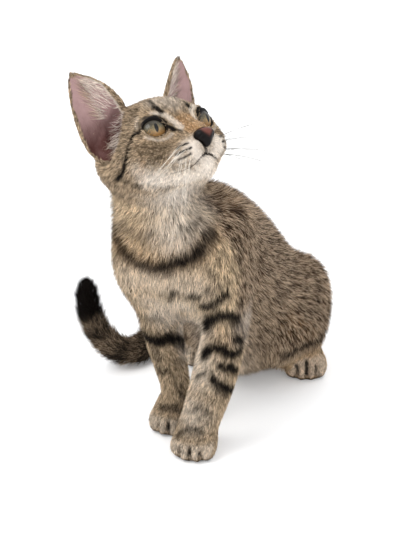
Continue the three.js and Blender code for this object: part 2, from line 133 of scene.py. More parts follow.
# %% Lights
# Name: place and width in metres, and watts.
LIGHTS = {
    "light_key": ((-0.55, -0.9, 1.25), 0.9, 12),
    "light_top": ((0.1, 0.3, 1.5), 1.2, 3),
    "light_fill": ((1.1, -0.7, 0.6), 0.9, 3),
}
LAMP_COLOUR = (1.0, 0.985, 0.96)
SKY_COLOUR = (0.97, 0.98, 1.0, 1)
SKY_STRENGTH = 1.2

for name, (place, wide, watts) in LIGHTS.items():
    lamp = bpy.data.lights.new(name, "AREA")
    lamp.shape = "DISK"
    lamp.size = wide
    lamp.energy = watts
    lamp.color = LAMP_COLOUR
    holder = add_object(name, lamp)
    holder.location = place
    holder.rotation_euler = (Vector(place) - AIM).to_track_quat("Z", "Y").to_euler()

world = bpy.data.worlds.new("pale room")
world.use_nodes = True
sky = world.node_tree.nodes["Background"].inputs
sky["Color"].default_value = SKY_COLOUR
sky["Strength"].default_value = SKY_STRENGTH
bpy.context.scene.world = world
bpy.context.scene.view_settings.view_transform = "Standard"
print("lights", list(LIGHTS))

# %% [markdown]
# ## Shader maths
#
# A fur colour is a small sum: a ground colour, lighter or darker hairs, and dark bands over it. Writing
# such sums as Python expressions is easier to read than wiring nodes one by one. `Wire` wraps the output of
# a node, so that `1 - mask` adds the Math node that it needs.


# %% Wires and looks
def linear(colour):
    """A colour such as #c0a080 as linear numbers."""
    parts = [int(colour[i : i + 2], 16) / 255 for i in (1, 3, 5)]
    return [c / 12.92 if c <= 0.04045 else ((c + 0.055) / 1.055) ** 2.4 for c in parts] + [1.0]


class Wire:
    """The output of a shader node, for sums."""

    def __init__(self, look, socket):
        self.look = look
        self.socket = socket

    def math(self, operation, a, b):
        return self.look.node("ShaderNodeMath", {"operation": operation}, {0: a, 1: b})

    def __add__(self, other):
        return self.math("ADD", self, other)

    def __sub__(self, other):
        return self.math("SUBTRACT", self, other)

    def __mul__(self, other):
        return self.math("MULTIPLY", self, other)

    def __rsub__(self, other):
        return self.math("SUBTRACT", other, self)

    def __pow__(self, other):
        return self.math("POWER", self, other)

    __radd__ = __add__
    __rmul__ = __mul__

    def ramp(self, low, high):
        """0 below low, 1 above high and smooth between."""
        settings = {"interpolation_type": "SMOOTHSTEP"}
        return self.look.node("ShaderNodeMapRange", settings, {0: self, 1: low, 2: high, 3: 0.0, 4: 1.0})


class Look:
    """A material with a Principled shader, its fixed values set on the shader itself."""

    def __init__(self, name, **fixed):
        self.material = bpy.data.materials.new(name)
        self.material.use_nodes = True
        self.tree = self.material.node_tree
        self.shader = self.tree.nodes["Principled BSDF"]
        for socket, value in fixed.items():
            self.shader.inputs[socket.replace("_", " ")].default_value = value

    def node(self, kind, settings=None, values=None, output=0):
        """Adds a node: its settings first, then the values or links of its inputs."""
        new = self.tree.nodes.new(kind)
        for name, value in (settings or {}).items():
            setattr(new, name, value)
        for socket, value in (values or {}).items():
            if isinstance(value, Wire):
                self.tree.links.new(value.socket, new.inputs[socket])
            else:
                new.inputs[socket].default_value = value
        return Wire(self, new.outputs[output])

    def attribute(self, name, output="Color"):
        return self.node("ShaderNodeAttribute", {"attribute_name": name}, output=output)

    def object_places(self):
        return self.node("ShaderNodeTexCoord", output="Object")

    def parts(self, colour):
        """Red, green and blue of a colour or vector as three wires."""
        first = self.node("ShaderNodeSeparateColor", values={"Color": colour})
        return [Wire(self, first.socket.node.outputs[i]) for i in range(3)]

    def mix(self, a, b, mask, blend="MIX"):
        settings = {"data_type": "RGBA", "blend_type": blend, "clamp_factor": True}
        return self.node("ShaderNodeMix", settings, {0: mask, 6: a, 7: b}, output=2)

    def noise(self, scale, detail=2.0, where=None):
        where = where or self.object_places()
        return self.node("ShaderNodeTexNoise", values={"Vector": where, "Scale": scale, "Detail": detail})

    def bump(self, height, distance, strength):
        values = {"Height": height, "Distance": distance, "Strength": strength}
        return self.node("ShaderNodeBump", values=values)

    def feed(self, socket, wire):
        self.tree.links.new(wire.socket, self.shader.inputs[socket])


# %% The floor
FLOOR_REACH = 6.0  # metres from the middle to each side


def mesh_from(bm, name):
    """Ends a bmesh as a mesh."""
    mesh = bpy.data.meshes.new(name)
    bm.to_mesh(mesh)
    bm.free()
    return mesh


# The floor glows a little. This is painted light that lightens the shadows on it, and it also lights the
# kitten faintly from below.
floor_look = Look("pale floor that glows", Roughness=0.55, Emission_Color=(1, 1, 1, 1), Emission_Strength=0.17)
speck = floor_look.noise(90.0, 3.0)
floor_look.feed("Base Color", floor_look.mix(linear("#f1f1f1"), linear("#f4f4f4"), speck))
bm = bmesh.new()
bmesh.ops.create_grid(bm, x_segments=1, y_segments=1, size=FLOOR_REACH)
floor = add_object("floor", mesh_from(bm, "floor"))
floor.data.materials.append(floor_look.material)
print("floor", len(floor.data.polygons), "face")

# %% [markdown]
# ## One skin
#
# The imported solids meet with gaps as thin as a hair. A living skin has none. Copies of the solids are
# fattened a little and melted into one by a voxel remesh, which is how clay pieces are joined into one
# figure. A union by booleans would keep the facets; the voxels give an even mesh that can be smoothed. The
# head and the toes keep all of it and the rest, which lies under the long coat, is thinned.

# %% Copies melted into one
FATTEN = 0.35 * MM
VOXEL = 1.0 * MM
SAME_PLACE = 1e-6
NOT_FLESH = ("eye_left", "eye_right", "nose")
FLESH = sorted(name for name in NODES if name not in NOT_FLESH)


def merged_copy(node, fatten):
    """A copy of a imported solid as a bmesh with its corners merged, each moved outward a little."""
    copy = bmesh.new()
    copy.from_mesh(NODES[node].data)
    bmesh.ops.remove_doubles(copy, verts=copy.verts, dist=SAME_PLACE)
    copy.normal_update()
    for corner in copy.verts:
        corner.co += corner.normal * fatten
    return copy


def mesh_now(thing):
    """The mesh that an object has after its modifiers, or a curve after its bevel."""
    graph = bpy.context.evaluated_depsgraph_get()
    return bpy.data.meshes.new_from_object(thing.evaluated_get(graph), depsgraph=graph)


def settle(thing, kind, **settings):
    """Adds a modifier to an object and applies it."""
    modifier = thing.modifiers.new(kind, kind)
    for name, value in settings.items():
        setattr(modifier, name, value)
    finished = mesh_now(thing)
    thing.modifiers.clear()
    thing.data = finished


whole = bmesh.new()
for node in FLESH:
    part = mesh_from(merged_copy(node, FATTEN), "part")
    whole.from_mesh(part)
    bpy.data.meshes.remove(part)
clay = add_object("clay", mesh_from(whole, "clay"))
settle(clay, "REMESH", mode="VOXEL", voxel_size=VOXEL)
print("melted skin", len(clay.data.vertices), "corners")

# %% The paws' own frames
# Each paw: where it stands on the floor, in mm, and how far it is turned outward, in degrees.
PAWS = {
    "forepaw_left": ((13.5, -58, 0), 8),
    "forepaw_right": ((-15.2, -32, 0), 12),
    "hindfoot_left": ((43, 84, 0), 24),
    "hindfoot_right": ((-42, 72, 0), -10),
}
TOES_IN_PAW = (0, -9, 5)


def turned(x, y, angle):
    """A place in the plane turned about the origin."""
    return x * math.cos(angle) - y * math.sin(angle), x * math.sin(angle) + y * math.cos(angle)


def in_body(spots):
    return (spots - np.array(BODY_AT)) / MM


def in_paw(paw, spots):
    """Places in a paw's own millimetres: x across the toes, -y forward and z up."""
    place, outward = PAWS[paw]
    x, y, z = (in_body(spots) - place).T
    return np.stack([*turned(x, y, -math.radians(outward)), z], -1)


def from_toes(paw, spots):
    return np.linalg.norm(in_paw(paw, spots) - TOES_IN_PAW, axis=1)


def from_head(spots):
    return np.linalg.norm(spots - np.array(HEAD_AT), axis=1) / MM


print("paws", list(PAWS))

# %% Thinner where the long coat hides it
HEAD_REACH = 58
TOE_REACH = 15
BODY_SHARE = 0.34


def read_rows(items, key, columns, kind=float):
    """One property of all corners, edges or faces of a mesh as the rows of an array."""
    values = np.empty(len(items) * columns, kind)
    items.foreach_get(key, values)
    return values.reshape(-1, columns)


spots = read_rows(clay.data.vertices, "co", 3)
far = from_head(spots) > HEAD_REACH
for paw in PAWS:
    far &= from_toes(paw, spots) > TOE_REACH
hidden = clay.vertex_groups.new(name="under the long coat")
hidden.add(np.nonzero(far)[0].tolist(), 1.0, "REPLACE")
settle(clay, "DECIMATE", ratio=BODY_SHARE, vertex_group=hidden.name)
print("thinned skin", len(clay.data.vertices), "corners", len(clay.data.polygons), "faces")

# %% [markdown]
# ## The skin as a field
#
# Depth, length, colour and lie of the fur change smoothly over the body. Each is a number or a vector on
# every corner of the skin's mesh, first set part by part and then eased over the neighbours, as paint is
# blended. Numpy holds them, because a field is worked out for all corners at once.


# %% Fields over the skin
class Surface:
    """A mesh as arrays, with its neighbours, for fields on its corners."""

    def __init__(self, mesh):
        mesh.calc_loop_triangles()
        self.count = len(mesh.vertices)
        self.spots = read_rows(mesh.vertices, "co", 3)
        self.faces = read_rows(mesh.loop_triangles, "vertices", 3, np.int64)
        edges = read_rows(mesh.edges, "vertices", 2, np.int64)
        self.near = np.concatenate([edges, edges[:, ::-1]])
        self.degree = np.maximum(np.bincount(self.near[:, 0], minlength=self.count), 1)
        self.measure()

    def measure(self):
        """The outward direction at each corner, from the faces round it."""
        a, b, c = (self.spots[self.faces[:, i]] for i in range(3))
        crosses = np.cross(b - a, c - a)
        out = np.stack([self.gather(self.faces.ravel(), np.repeat(crosses[:, i], 3)) for i in range(3)], 1)
        self.out = unit(out)

    def gather(self, where, values):
        return np.bincount(where, weights=values, minlength=self.count)

    def eased(self, values, rounds, pull=0.5):
        """The field drawn towards the mean of its neighbours, by one pull for all corners or one for each."""
        flat = values.reshape(self.count, -1).astype(float)
        pull = np.reshape(pull, (-1, 1))
        for _ in range(rounds):
            sums = np.stack([self.gather(self.near[:, 0], column[self.near[:, 1]]) for column in flat.T], 1)
            flat = flat + (sums / self.degree[:, None] - flat) * pull
        return flat.reshape(values.shape)


def unit(vectors):
    return vectors / np.maximum(np.linalg.norm(vectors, axis=-1, keepdims=True), 1e-9)


def step_up(values, low, high):
    """0 below low, 1 above high and smooth between."""
    t = np.clip((values - low) / (high - low), 0, 1)
    return t * t * (3 - 2 * t)


def in_head(spots):
    """Places in the head's own frame, in its millimetres."""
    return (spots - np.array(HEAD_AT)) @ np.array(HEAD_TURN) / (HEAD_SIZE * MM)


coat = Surface(clay.data)
print("faces", len(coat.faces), "height", round(float(coat.spots[:, 2].max()), 4))

# %% Facets smoothed away
# Rounds of easing, each followed by one that swells the form back, so that a toe keeps its size.
SMOOTHING = 14
PLAIN_PULL = 0.5
FINE_PULL = 0.35
SWELL_BACK = -1.06
LAST_PULL = 0.3
# Where the fine parts end, in mm from the middle of the head and of the toes.
HEAD_EDGE = (46, 60)
TOE_EDGE = (13, 18)

toe_like = np.zeros(coat.count)
for paw in PAWS:
    toe_like = np.maximum(toe_like, 1 - step_up(from_toes(paw, coat.spots), *TOE_EDGE))
fine_part = np.maximum(1 - step_up(from_head(coat.spots), *HEAD_EDGE), toe_like)
pull = PLAIN_PULL - (PLAIN_PULL - FINE_PULL) * fine_part
for _ in range(SMOOTHING):
    coat.spots = coat.eased(coat.spots, 1, pull)
    coat.spots = coat.eased(coat.spots, 1, pull * SWELL_BACK)
coat.spots = coat.eased(coat.spots, 2, LAST_PULL * (1 - fine_part))
coat.spots[:, 2] = np.maximum(coat.spots[:, 2], 0.0)
coat.measure()
print("smoothed", coat.count)

# %% [markdown]
# ## Toes
#
# Four toes show on each paw as soft ridges with clefts between them, darkened by painted shade. The
# clefts are pressed into the smooth outline as narrow grooves, which keeps the mesh whole; cutting the toes
# apart would leave slits.

# %% Clefts between the toes
# Across place of each cleft in mm, and how tall and dark it is beside the middle one.
TOE_CLEFTS = {-7.0: 0.8, 0.0: 1.0, 7.0: 0.8}
CLEFT_DEEP = 3.2
CLEFT_WIDE = 1.5
CLEFTS_SPREAD = 0.012
RIDGE_HIGH = 1.1
TOE_TOPS = {"forepaw": 11.5, "hindfoot": 16.0}
TOP_EDGE = 5
# Where the toes begin, end and stop at the sides of a paw, in its millimetres, and which way their skin
# faces.
TOES_BEGIN = (-1, 8)
TOES_END = (26, 30)
TOES_BESIDE = (17, 20)
TOES_FACE = (0.1, 0.7)

toe_gap = np.zeros(coat.count)
toe_top = np.zeros(coat.count)
for paw in PAWS:
    here = in_paw(paw, coat.spots)
    across, back, up = here.T
    ahead = -back
    _, facing_back, rising = (in_paw(paw, coat.spots + coat.out * MM) - here).T
    top = TOE_TOPS[paw.split("_")[0]]
    reach = step_up(ahead, *TOES_BEGIN) * (1 - step_up(ahead, *TOES_END))
    reach *= step_up(rising - facing_back, *TOES_FACE) * (1 - step_up(np.abs(across), *TOES_BESIDE))
    toe_top = np.maximum(toe_top, reach * (1 - step_up(up, top, top + TOP_EDGE)))
    for cleft, tall in TOE_CLEFTS.items():
        bent = cleft * (1 + CLEFTS_SPREAD * (ahead - TOES_BEGIN[1]))
        below_top = 1 - step_up(up, top * tall - 2, top * tall + TOP_EDGE)
        gap = np.exp(-(((across - bent) / CLEFT_WIDE) ** 2)) * reach * below_top
        toe_gap = np.maximum(toe_gap, gap * (0.4 + 0.6 * tall))
pressed = toe_gap * CLEFT_DEEP - toe_top * (1 - toe_gap) ** 2 * RIDGE_HIGH
coat.spots -= coat.out * pressed[:, None] * MM
coat.spots[:, 2] = np.maximum(coat.spots[:, 2], 0.0)
coat.measure()
print("corners in clefts", int((toe_gap > 0.5).sum()))

# %% [markdown]
# ## The coat of each part
#
# A kitten's coat is short and soft: longest on the neck, chest and tail, short on the legs and shortest on
# the muzzle and toes. Each part of the body has its own length, width and number of tufts, and the depth by
# which the skin lies below the tips.

# %% Length, width, depth and number of tufts
# Part: length, width and depth of the coat in mm, tufts on a square millimetre, and how buff its ground is,
# from 0 for the dark back to 1 for the pale chest.
COAT = {
    "head": (4.6, 0.42, 2.0, 3.2, 0.6),
    "ear": (3.0, 0.40, 0.35, 2.6, 0.45),
    "neck": (9.5, 0.52, 4.5, 1.5, 0.66),
    "shoulder": (8.0, 0.52, 3.6, 1.5, 0.62),
    "thorax": (7.4, 0.50, 4.0, 1.6, 0.42),
    "abdomen": (7.0, 0.50, 4.0, 1.6, 0.22),
    "rump": (7.0, 0.50, 4.0, 1.6, 0.18),
    "thigh": (6.8, 0.50, 3.8, 1.6, 0.24),
    "foreleg": (5.0, 0.42, 2.3, 2.4, 0.78),
    "forepaw": (2.9, 0.38, 0.9, 3.4, 0.66),
    "hindfoot": (2.6, 0.38, 1.0, 2.4, 1.0),
    "tail": (9.5, 0.46, 2.9, 2.2, 0.30),
}
KINDS = list(COAT)
PARTS_EASED = 14


def kind_of(node):
    return next(kind for kind in KINDS if node.startswith(kind))


def is_kind(kind):
    return kinds == KINDS.index(kind)


tree = KDTree(sum(len(NODES[node].data.polygons) for node in FLESH))
owners = []
for node in FLESH:
    for face in NODES[node].data.polygons:
        tree.insert(face.center, len(owners))
        owners.append(FLESH.index(node))
tree.balance()
part_of = np.array([owners[tree.find(Vector(spot))[1]] for spot in coat.spots])
kinds = np.array([KINDS.index(kind_of(node)) for node in FLESH])[part_of]
coat_here = coat.eased(np.array([COAT[kind] for kind in KINDS])[kinds], PARTS_EASED)
length, width, depth, tufts_per_mm2, buff = coat_here.T
print("parts", len(FLESH), "mean depth", round(float(depth.mean()), 2), "mm")

# %% [markdown]
# ## The lie of the coat
#
# Fur grows away from the nose: back over the skull, down the throat and chest, along the back to the tail,
# and down each leg to the toes. A few guide lines say so, and each corner of the skin takes the way of the
# guides near it, laid flat on the skin.

# %% Guide lines of the lie
# Places in the body's millimetres, from the head end of each line to the other.
TAIL_LINE = [
    (0, 104, 46), (-5, 130, 28), (-24, 146, 11), (-58, 139, 9.5), (-80, 104, 9.5), (-80, 70, 9.5),
    (-82, 48, 10), (-93, 34, 17), (-104, 28, 32), (-110, 26, 50), (-112, 26, 74),
]
BACK_LINE = [(-22, -30, 215), (-8, -6, 185), (0, 30, 150), (0, 70, 118), (0, 106, 84), (0, 118, 56)]
CHEST_LINE = [(6, -74, 200), (-4, -76, 172), (-2, -74, 146), (0, -62, 116), (0, -44, 88)]
THROAT_FANS = [
    [(0, -72, 206), (-20, -70, 186), (-36, -60, 166), (-46, -46, 148)],
    [(8, -70, 206), (20, -66, 188), (32, -56, 170), (42, -44, 150)],
]
BELLY_LINE = [(0, -44, 88), (0, -4, 62), (0, 34, 40), (0, 66, 26)]
FLANK_LINE = [(38, -20, 168), (43, 16, 132), (46, 44, 98), (52, 70, 66)]
THIGH_LINE = [(48, 92, 92), (55, 90, 60), (54, 82, 34), (50, 74, 14)]
LEG_LINES = {
    "left": [
        (30, -34, 160), (31, -46, 134), (29, -38, 98), (25, -50, 62), (19, -57, 34), (13, -62, 14),
        (11, -82, 3),
    ],
    "right": [
        (-36, -34, 160), (-37, -42, 136), (-30, -30, 98), (-21, -31, 62), (-14, -31, 34), (-16, -38, 14),
        (-19, -56, 3),
    ],
}
FOOT_LINES = {
    "left": [(23, 130, 16), (33, 107, 14), (43, 84, 12), (49, 70, 3)],
    "right": [(-34, 118, 16), (-38, 95, 14), (-42, 72, 12), (-44, 58, 3)],
}


# %% Guides for each part of the body
GUIDE_STEP = 0.2


def guide(line, side=1):
    """Places along a line through some points, and the way it goes there."""
    points = np.array(line, float) * (side, 1, 1)
    steps = np.arange(0, len(points) - 1, GUIDE_STEP)
    whole_steps = steps.astype(int)
    ways = unit(np.gradient(points, axis=0))
    part = (steps - whole_steps)[:, None]
    places = points[whole_steps] * (1 - part) + points[whole_steps + 1] * part
    return places, unit(ways[whole_steps] * (1 - part) + ways[whole_steps + 1] * part)


FLANKS = [guide(FLANK_LINE), guide(FLANK_LINE, -1)]
THIGHS = [guide(THIGH_LINE), guide(THIGH_LINE, -1)]
TRUNK = [guide(BACK_LINE), guide(BELLY_LINE)] + FLANKS + [guide(CHEST_LINE)]
LEGS = [guide(line) for line in LEG_LINES.values()]
GUIDES = {
    "neck": TRUNK + [guide(line) for line in THROAT_FANS],
    "thorax": TRUNK,
    "abdomen": TRUNK + THIGHS,
    "rump": [guide(BACK_LINE), guide(BELLY_LINE)] + THIGHS,
    "thigh": THIGHS + FLANKS,
    "tail": [guide(TAIL_LINE)],
    "shoulder": LEGS + [guide(CHEST_LINE)],
    "foreleg": LEGS,
    "forepaw": LEGS,
    "hindfoot": [guide(line) for line in FOOT_LINES.values()],
}
print("guides", {kind: len(guides) for kind, guides in GUIDES.items()})

# %% The lie on the body
# A guide's pull falls with its distance in mm; the corners are worked out some at a time to save memory.
GUIDE_REACH = 8.0
GUIDE_FADE = -2.5
AT_A_TIME = 8000

body_spots = in_body(coat.spots)
body_x, body_y, body_z = body_spots.T
lie = np.zeros_like(coat.spots)
for kind, guides in GUIDES.items():
    mine = np.nonzero(is_kind(kind))[0]
    places = np.concatenate([places for places, _ in guides])
    ways = np.concatenate([ways for _, ways in guides])
    for some in np.array_split(mine, max(len(mine) // AT_A_TIME, 1)):
        apart = ((body_spots[some][:, None] - places[None]) ** 2).sum(2) + GUIDE_REACH**2
        lie[some] = apart**GUIDE_FADE @ ways
print("longest pull", round(float(np.abs(lie).max()), 6))

# %% The lie on the head and the ears
# Away from the nose, then down over the cheeks; on the ears from the root to the tip.
NOSE_TIP = np.array([0, -45, -4])
EAR_TIP = np.array([43.4, 6.2, 59])
SWEEP_DOWN = np.array([0, 0.56, -0.8])

head_spots = in_head(coat.spots)
mirror = np.stack([np.sign(head_spots[:, 0]), np.ones(coat.count), np.ones(coat.count)], 1)
left_spots = head_spots * mirror
left_x, left_y, left_z = left_spots.T
cheek = step_up(-left_z, -6, 14) * step_up(left_y, -34, -6)
on_skull = unit(unit(head_spots - NOSE_TIP) + SWEEP_DOWN * cheek[:, None])
up_ear = unit(EAR_TIP - left_spots) * mirror
for kind, ways in (("head", on_skull), ("ear", up_ear)):
    mine = is_kind(kind)
    lie[mine] = (ways @ np.array(HEAD_TURN).T)[mine]


def laid_flat(ways, out):
    return unit(ways - out * (ways * out).sum(-1, keepdims=True))


lie = unit(lie)
for _ in range(6):
    lie = laid_flat(coat.eased(lie, 3), coat.out)
print("lie of the coat set on", coat.count, "corners")

# %% [markdown]
# ## Bare places and short fur
#
# No hair grows on the rims of the eyes, on the nose, inside the lips, on the soles or deep in the ears. The
# fur gets longer step by step from the muzzle back to the ruff. Both are functions of the distance to a
# feature.

# %% Inside the ears
# The front and back edge of each ear: heights, and how far from the middle of the head the edge is there.
FRONT_EDGE = ([-8, 20.6, 31.8, 45.8, 59], [26, 13.4, 17.6, 27.2, 42.6])
BACK_EDGE = ([-9, 9, 38, 59], [27, 42.6, 48, 44.2])
EAR_OPENS = np.array([0.5, -0.86, 0.0])
LEAST_OPEN = 0.1

in_ear, in_skull = is_kind("ear"), is_kind("head")
opening = ((coat.out @ np.array(HEAD_TURN)) * mirror * EAR_OPENS).sum(1)
front_x = np.interp(left_z, *FRONT_EDGE)
ear_wide = np.maximum(np.interp(left_z, *BACK_EDGE) - front_x, 2)
across_ear = (left_x - front_x) / ear_wide
in_front_of_ear = (left_y < 14) | ((left_y < 20) & (opening > 0.45))
ear_bed = in_skull & in_front_of_ear & (left_y > 2) & (left_z > 1) & (left_z < 30)
between_edges = (across_ear > 0.06) & (across_ear < 0.96) & (left_z < 55)
in_hollow = (in_ear | ear_bed) & between_edges & (opening > LEAST_OPEN)
inner_ear = coat.eased(in_hollow.astype(float), 2)
print("corners inside the ears", int(in_hollow.sum()))

# %% Bare places
NOSE_AT = (0, -44.5, -6.5)


def near_spots(spots, centre, radius, edge):
    """1 within a radius of a place, falling to 0 over an edge."""
    away = np.linalg.norm(spots - np.array(centre), axis=1)
    return 1 - step_up(away, radius, radius + edge)


eye_rim = near_spots(left_spots, EYE_AT, EYE_RADIUS + 1.3, 0.8)
nose_bed = near_spots(head_spots, NOSE_AT, 5.6, 1.6)
sole = step_up(-coat.out[:, 2], 0.6, 0.9) * (1 - step_up(coat.spots[:, 2], 1.0 * MM, 4 * MM))
bare = np.clip(np.maximum.reduce([eye_rim, nose_bed, sole, step_up(inner_ear, 0.3, 0.7)]), 0, 1)
print("bare corners", int((bare > 0.5).sum()))

# %% Hair inside the ears
# Long pale hairs grow inside the front edge of each ear and sweep outward over its hollow.
EAR_HAIRS_WAY = np.array([29, 10.5, 7])
EAR_HAIRS_RISE = np.array([0, 0, 14])

ear_hairs = inner_ear * step_up(left_z, -4, 4)
ear_hairs = ear_hairs * (1 - step_up(across_ear, 0.2, 0.55)) * (1 - step_up(left_z, 46, 56))
is_ear_hair = ear_hairs > 0.25
bare = bare * (1 - step_up(ear_hairs, 0.25, 0.6))
ear_sweep = unit(EAR_HAIRS_WAY + EAR_HAIRS_RISE * step_up(left_z, 5, 45)[:, None]) * mirror
ear_sweep = ear_sweep @ np.array(HEAD_TURN).T
lie = laid_flat(np.where(is_ear_hair[:, None], ear_sweep, lie), coat.out)
print("corners with ear hairs", int(is_ear_hair.sum()))

# %% Longer from the muzzle to the ruff
# Length on the muzzle and on the ruff, where 1 is the head's own length, and where each change begins and
# ends.
MUZZLE_LENGTH = 0.30
RUFF_LENGTH = 1.9
MUZZLE_TO_HEAD = (4, 46)
HEAD_TO_RUFF = (44, 66)
EAR_HAIR_WIDE = 0.24
EAR_HAIRS_PER_MM2 = 0.8

back_of_nose = left_y + 45
growth = MUZZLE_LENGTH + (1 - MUZZLE_LENGTH) * step_up(back_of_nose, *MUZZLE_TO_HEAD)
growth += (RUFF_LENGTH - 1) * step_up(back_of_nose, *HEAD_TO_RUFF) * step_up(-left_z, -4, 14)
growth = coat.eased(np.where(in_skull, growth, 1.0), 4)
depth = coat.eased(depth * np.clip(growth, 0.25, 1.3) * (1 - 0.9 * bare), 3)
length = np.where(is_ear_hair, np.clip(ear_wide * 0.72, 5, 18), length * growth)
width = np.where(is_ear_hair, EAR_HAIR_WIDE, width * np.clip(0.55 + 0.45 * growth, 0.55, 1.1))
tufts_per_mm2 = np.where(is_ear_hair, EAR_HAIRS_PER_MM2, tufts_per_mm2)
print("length from", round(float(length.min()), 1), "to", round(float(length.max()), 1), "mm")

# %% How far the tips stand out
# In mm beyond the outline: most on the tail and the neck, hardly on the legs, the face and the backs of the
# ears.
STANDS_OUT = {"tail": 5.4, "neck": 5.0, "rump": 4.4, "thigh": 4.4, "thorax": 4.4, "abdomen": 4.4}
STANDS_OUT |= {"shoulder": 2.2, "head": 1.2}
STANDS_OUT_ELSEWHERE = 0.7
EAR_HAIRS_STAND = 3.0

stand = np.select([is_kind(kind) for kind in STANDS_OUT], list(STANDS_OUT.values()), STANDS_OUT_ELSEWHERE)
stand = np.where(is_ear_hair, EAR_HAIRS_STAND, coat.eased(stand, 6))
print("tips stand out by up to", round(float(stand.max()), 1), "mm")

# %% [markdown]
# ## The markings
#
# A tabby's pattern is dark lines and bands over a ground that goes from dark on the back to buff on the
# chest, with a white muzzle and bib. Each mark is a short line laid on the skin, with a width and a
# strength. It is worked out once, on the corners of the skin, so that the skin and the tufts that grow from
# it agree.

# %% Marks as lines on the skin
# Name: places along the line in mm, half its width in mm, and its strength. Head marks are given on the
# left and mirrored to the right; body marks are given as they are.
DARK_ON_HEAD = {
    "upper lid": (
        [(27.6, -22, 9), (23.6, -23.6, 13.2), (21, -25.8, 14.9), (17.5, -26.6, 15.2), (14.6, -27.8, 13.2),
         (12.6, -29, 9.6)],
        1.2, 1.0,
    ),
    "eye corner": ([(12.6, -29.3, 7), (10, -30.9, 3.6)], 1.5, 1.0),
    "inner streak": ([(10, -30.9, 3.6), (8, -34.5, 1.3)], 0.9, 0.8),
    "outer corner": ([(27.9, -21.8, 8), (29.3, -15.6, 7.1)], 1.3, 1.0),
    "brow": ([(11.6, -21.4, 21.6), (10.7, -25.5, 17)], 1.9, 1.0),
    "above the brow": ([(7.6, -12.8, 27.8), (9.8, -19.2, 24)], 1.4, 0.85),
    "brow to crown": ([(7.6, -12.8, 27.8), (7.1, -2.1, 31), (8.5, 16, 29)], 1.3, 0.7),
    "forehead inner": (
        [(2.6, 4, 32), (2.2, -14, 27), (1.8, -21.6, 24), (1.7, -26, 19.2), (3, -30.1, 12.9)],
        1.1, 0.5,
    ),
    "forehead outer": ([(5.4, -18, 25), (6.6, -25, 18.5), (4.6, -29.5, 14)], 1.1, 0.5),
    "forehead side": ([(9.5, -16, 26), (8.6, -22, 21.5)], 0.7, 0.4),
    "crown side": ([(10, -12, 27.5), (13, 4, 31), (14, 18, 27)], 1.4, 0.6),
    "crown middle": ([(3.2, 4, 32), (3.4, 26, 25)], 1.1, 0.55),
    "temple": ([(15.7, -12.5, 24.6), (19.7, -12.1, 21.5)], 1.4, 0.6),
    "temple back": ([(18.4, -7.2, 24.2), (22.1, -12, 19.3)], 1.4, 0.55),
    "temple low": ([(24, -14, 17), (25, -6, 20), (25, 2, 21)], 1.1, 0.5),
    "temple side": ([(29, -12, 11), (31, -5, 11), (32, 2, 9)], 1.1, 0.45),
    "behind the cheek": ([(35.8, -1.3, -3.2), (35.7, 0.9, -8.9), (35, 2.8, -12.2)], 1.6, 0.4),
    "cheek stripe": (
        [(29.3, -15.6, 7.1), (31.6, -13.4, 3.1), (34.3, -12, -2.3), (34.9, -6.9, -7), (34.7, -0.6, -11.4),
         (35.2, 5.2, -12.8)],
        1.75, 1.0,
    ),
    "jaw stripe": ([(35.2, 5.2, -12.8), (32.9, 1.1, -15.7), (29, -1.8, -20.5)], 3.0, 0.5),
    "under the eye": ([(30.5, -22, -3.5), (25.5, -26.8, -5.2), (18.5, -31, -7.2)], 4.5, 0.34),
    "under line 1": (
        [(30.7, -21.9, -1.1), (27.7, -25.7, -3.8), (22.5, -28.3, -5.4), (17.8, -31.3, -5.6)],
        1.0, 0.6,
    ),
    "under line 2": ([(32.1, -21.5, -5.1), (28.6, -25.3, -6.9), (24.3, -27.6, -7.4)], 1.0, 0.55),
    "under line 3": ([(33, -19, -8), (29.5, -23.5, -9.2), (26, -26, -9.4)], 0.9, 0.4),
    "cheek smudge": ([(28.9, -23.9, -10.2), (22.3, -28.3, -10.8)], 1.6, 0.55),
    "small cheek mark": ([(31.4, -20, -12), (29, -22.6, -12.4)], 0.8, 0.55),
    "whisker row 1": ([(18.4, -38.2, -9.2), (12.5, -42.6, -8.2)], 0.85, 1.0),
    "whisker row 2": ([(19.4, -36.6, -12.8), (12.3, -43.7, -11.6)], 0.85, 1.0),
    "whisker row 3": ([(18.4, -36, -15.8), (13.2, -42.5, -15)], 0.8, 0.9),
    "whisker row 4": ([(16.1, -34.6, -18.8), (10.2, -41, -18)], 0.5, 0.6),
}
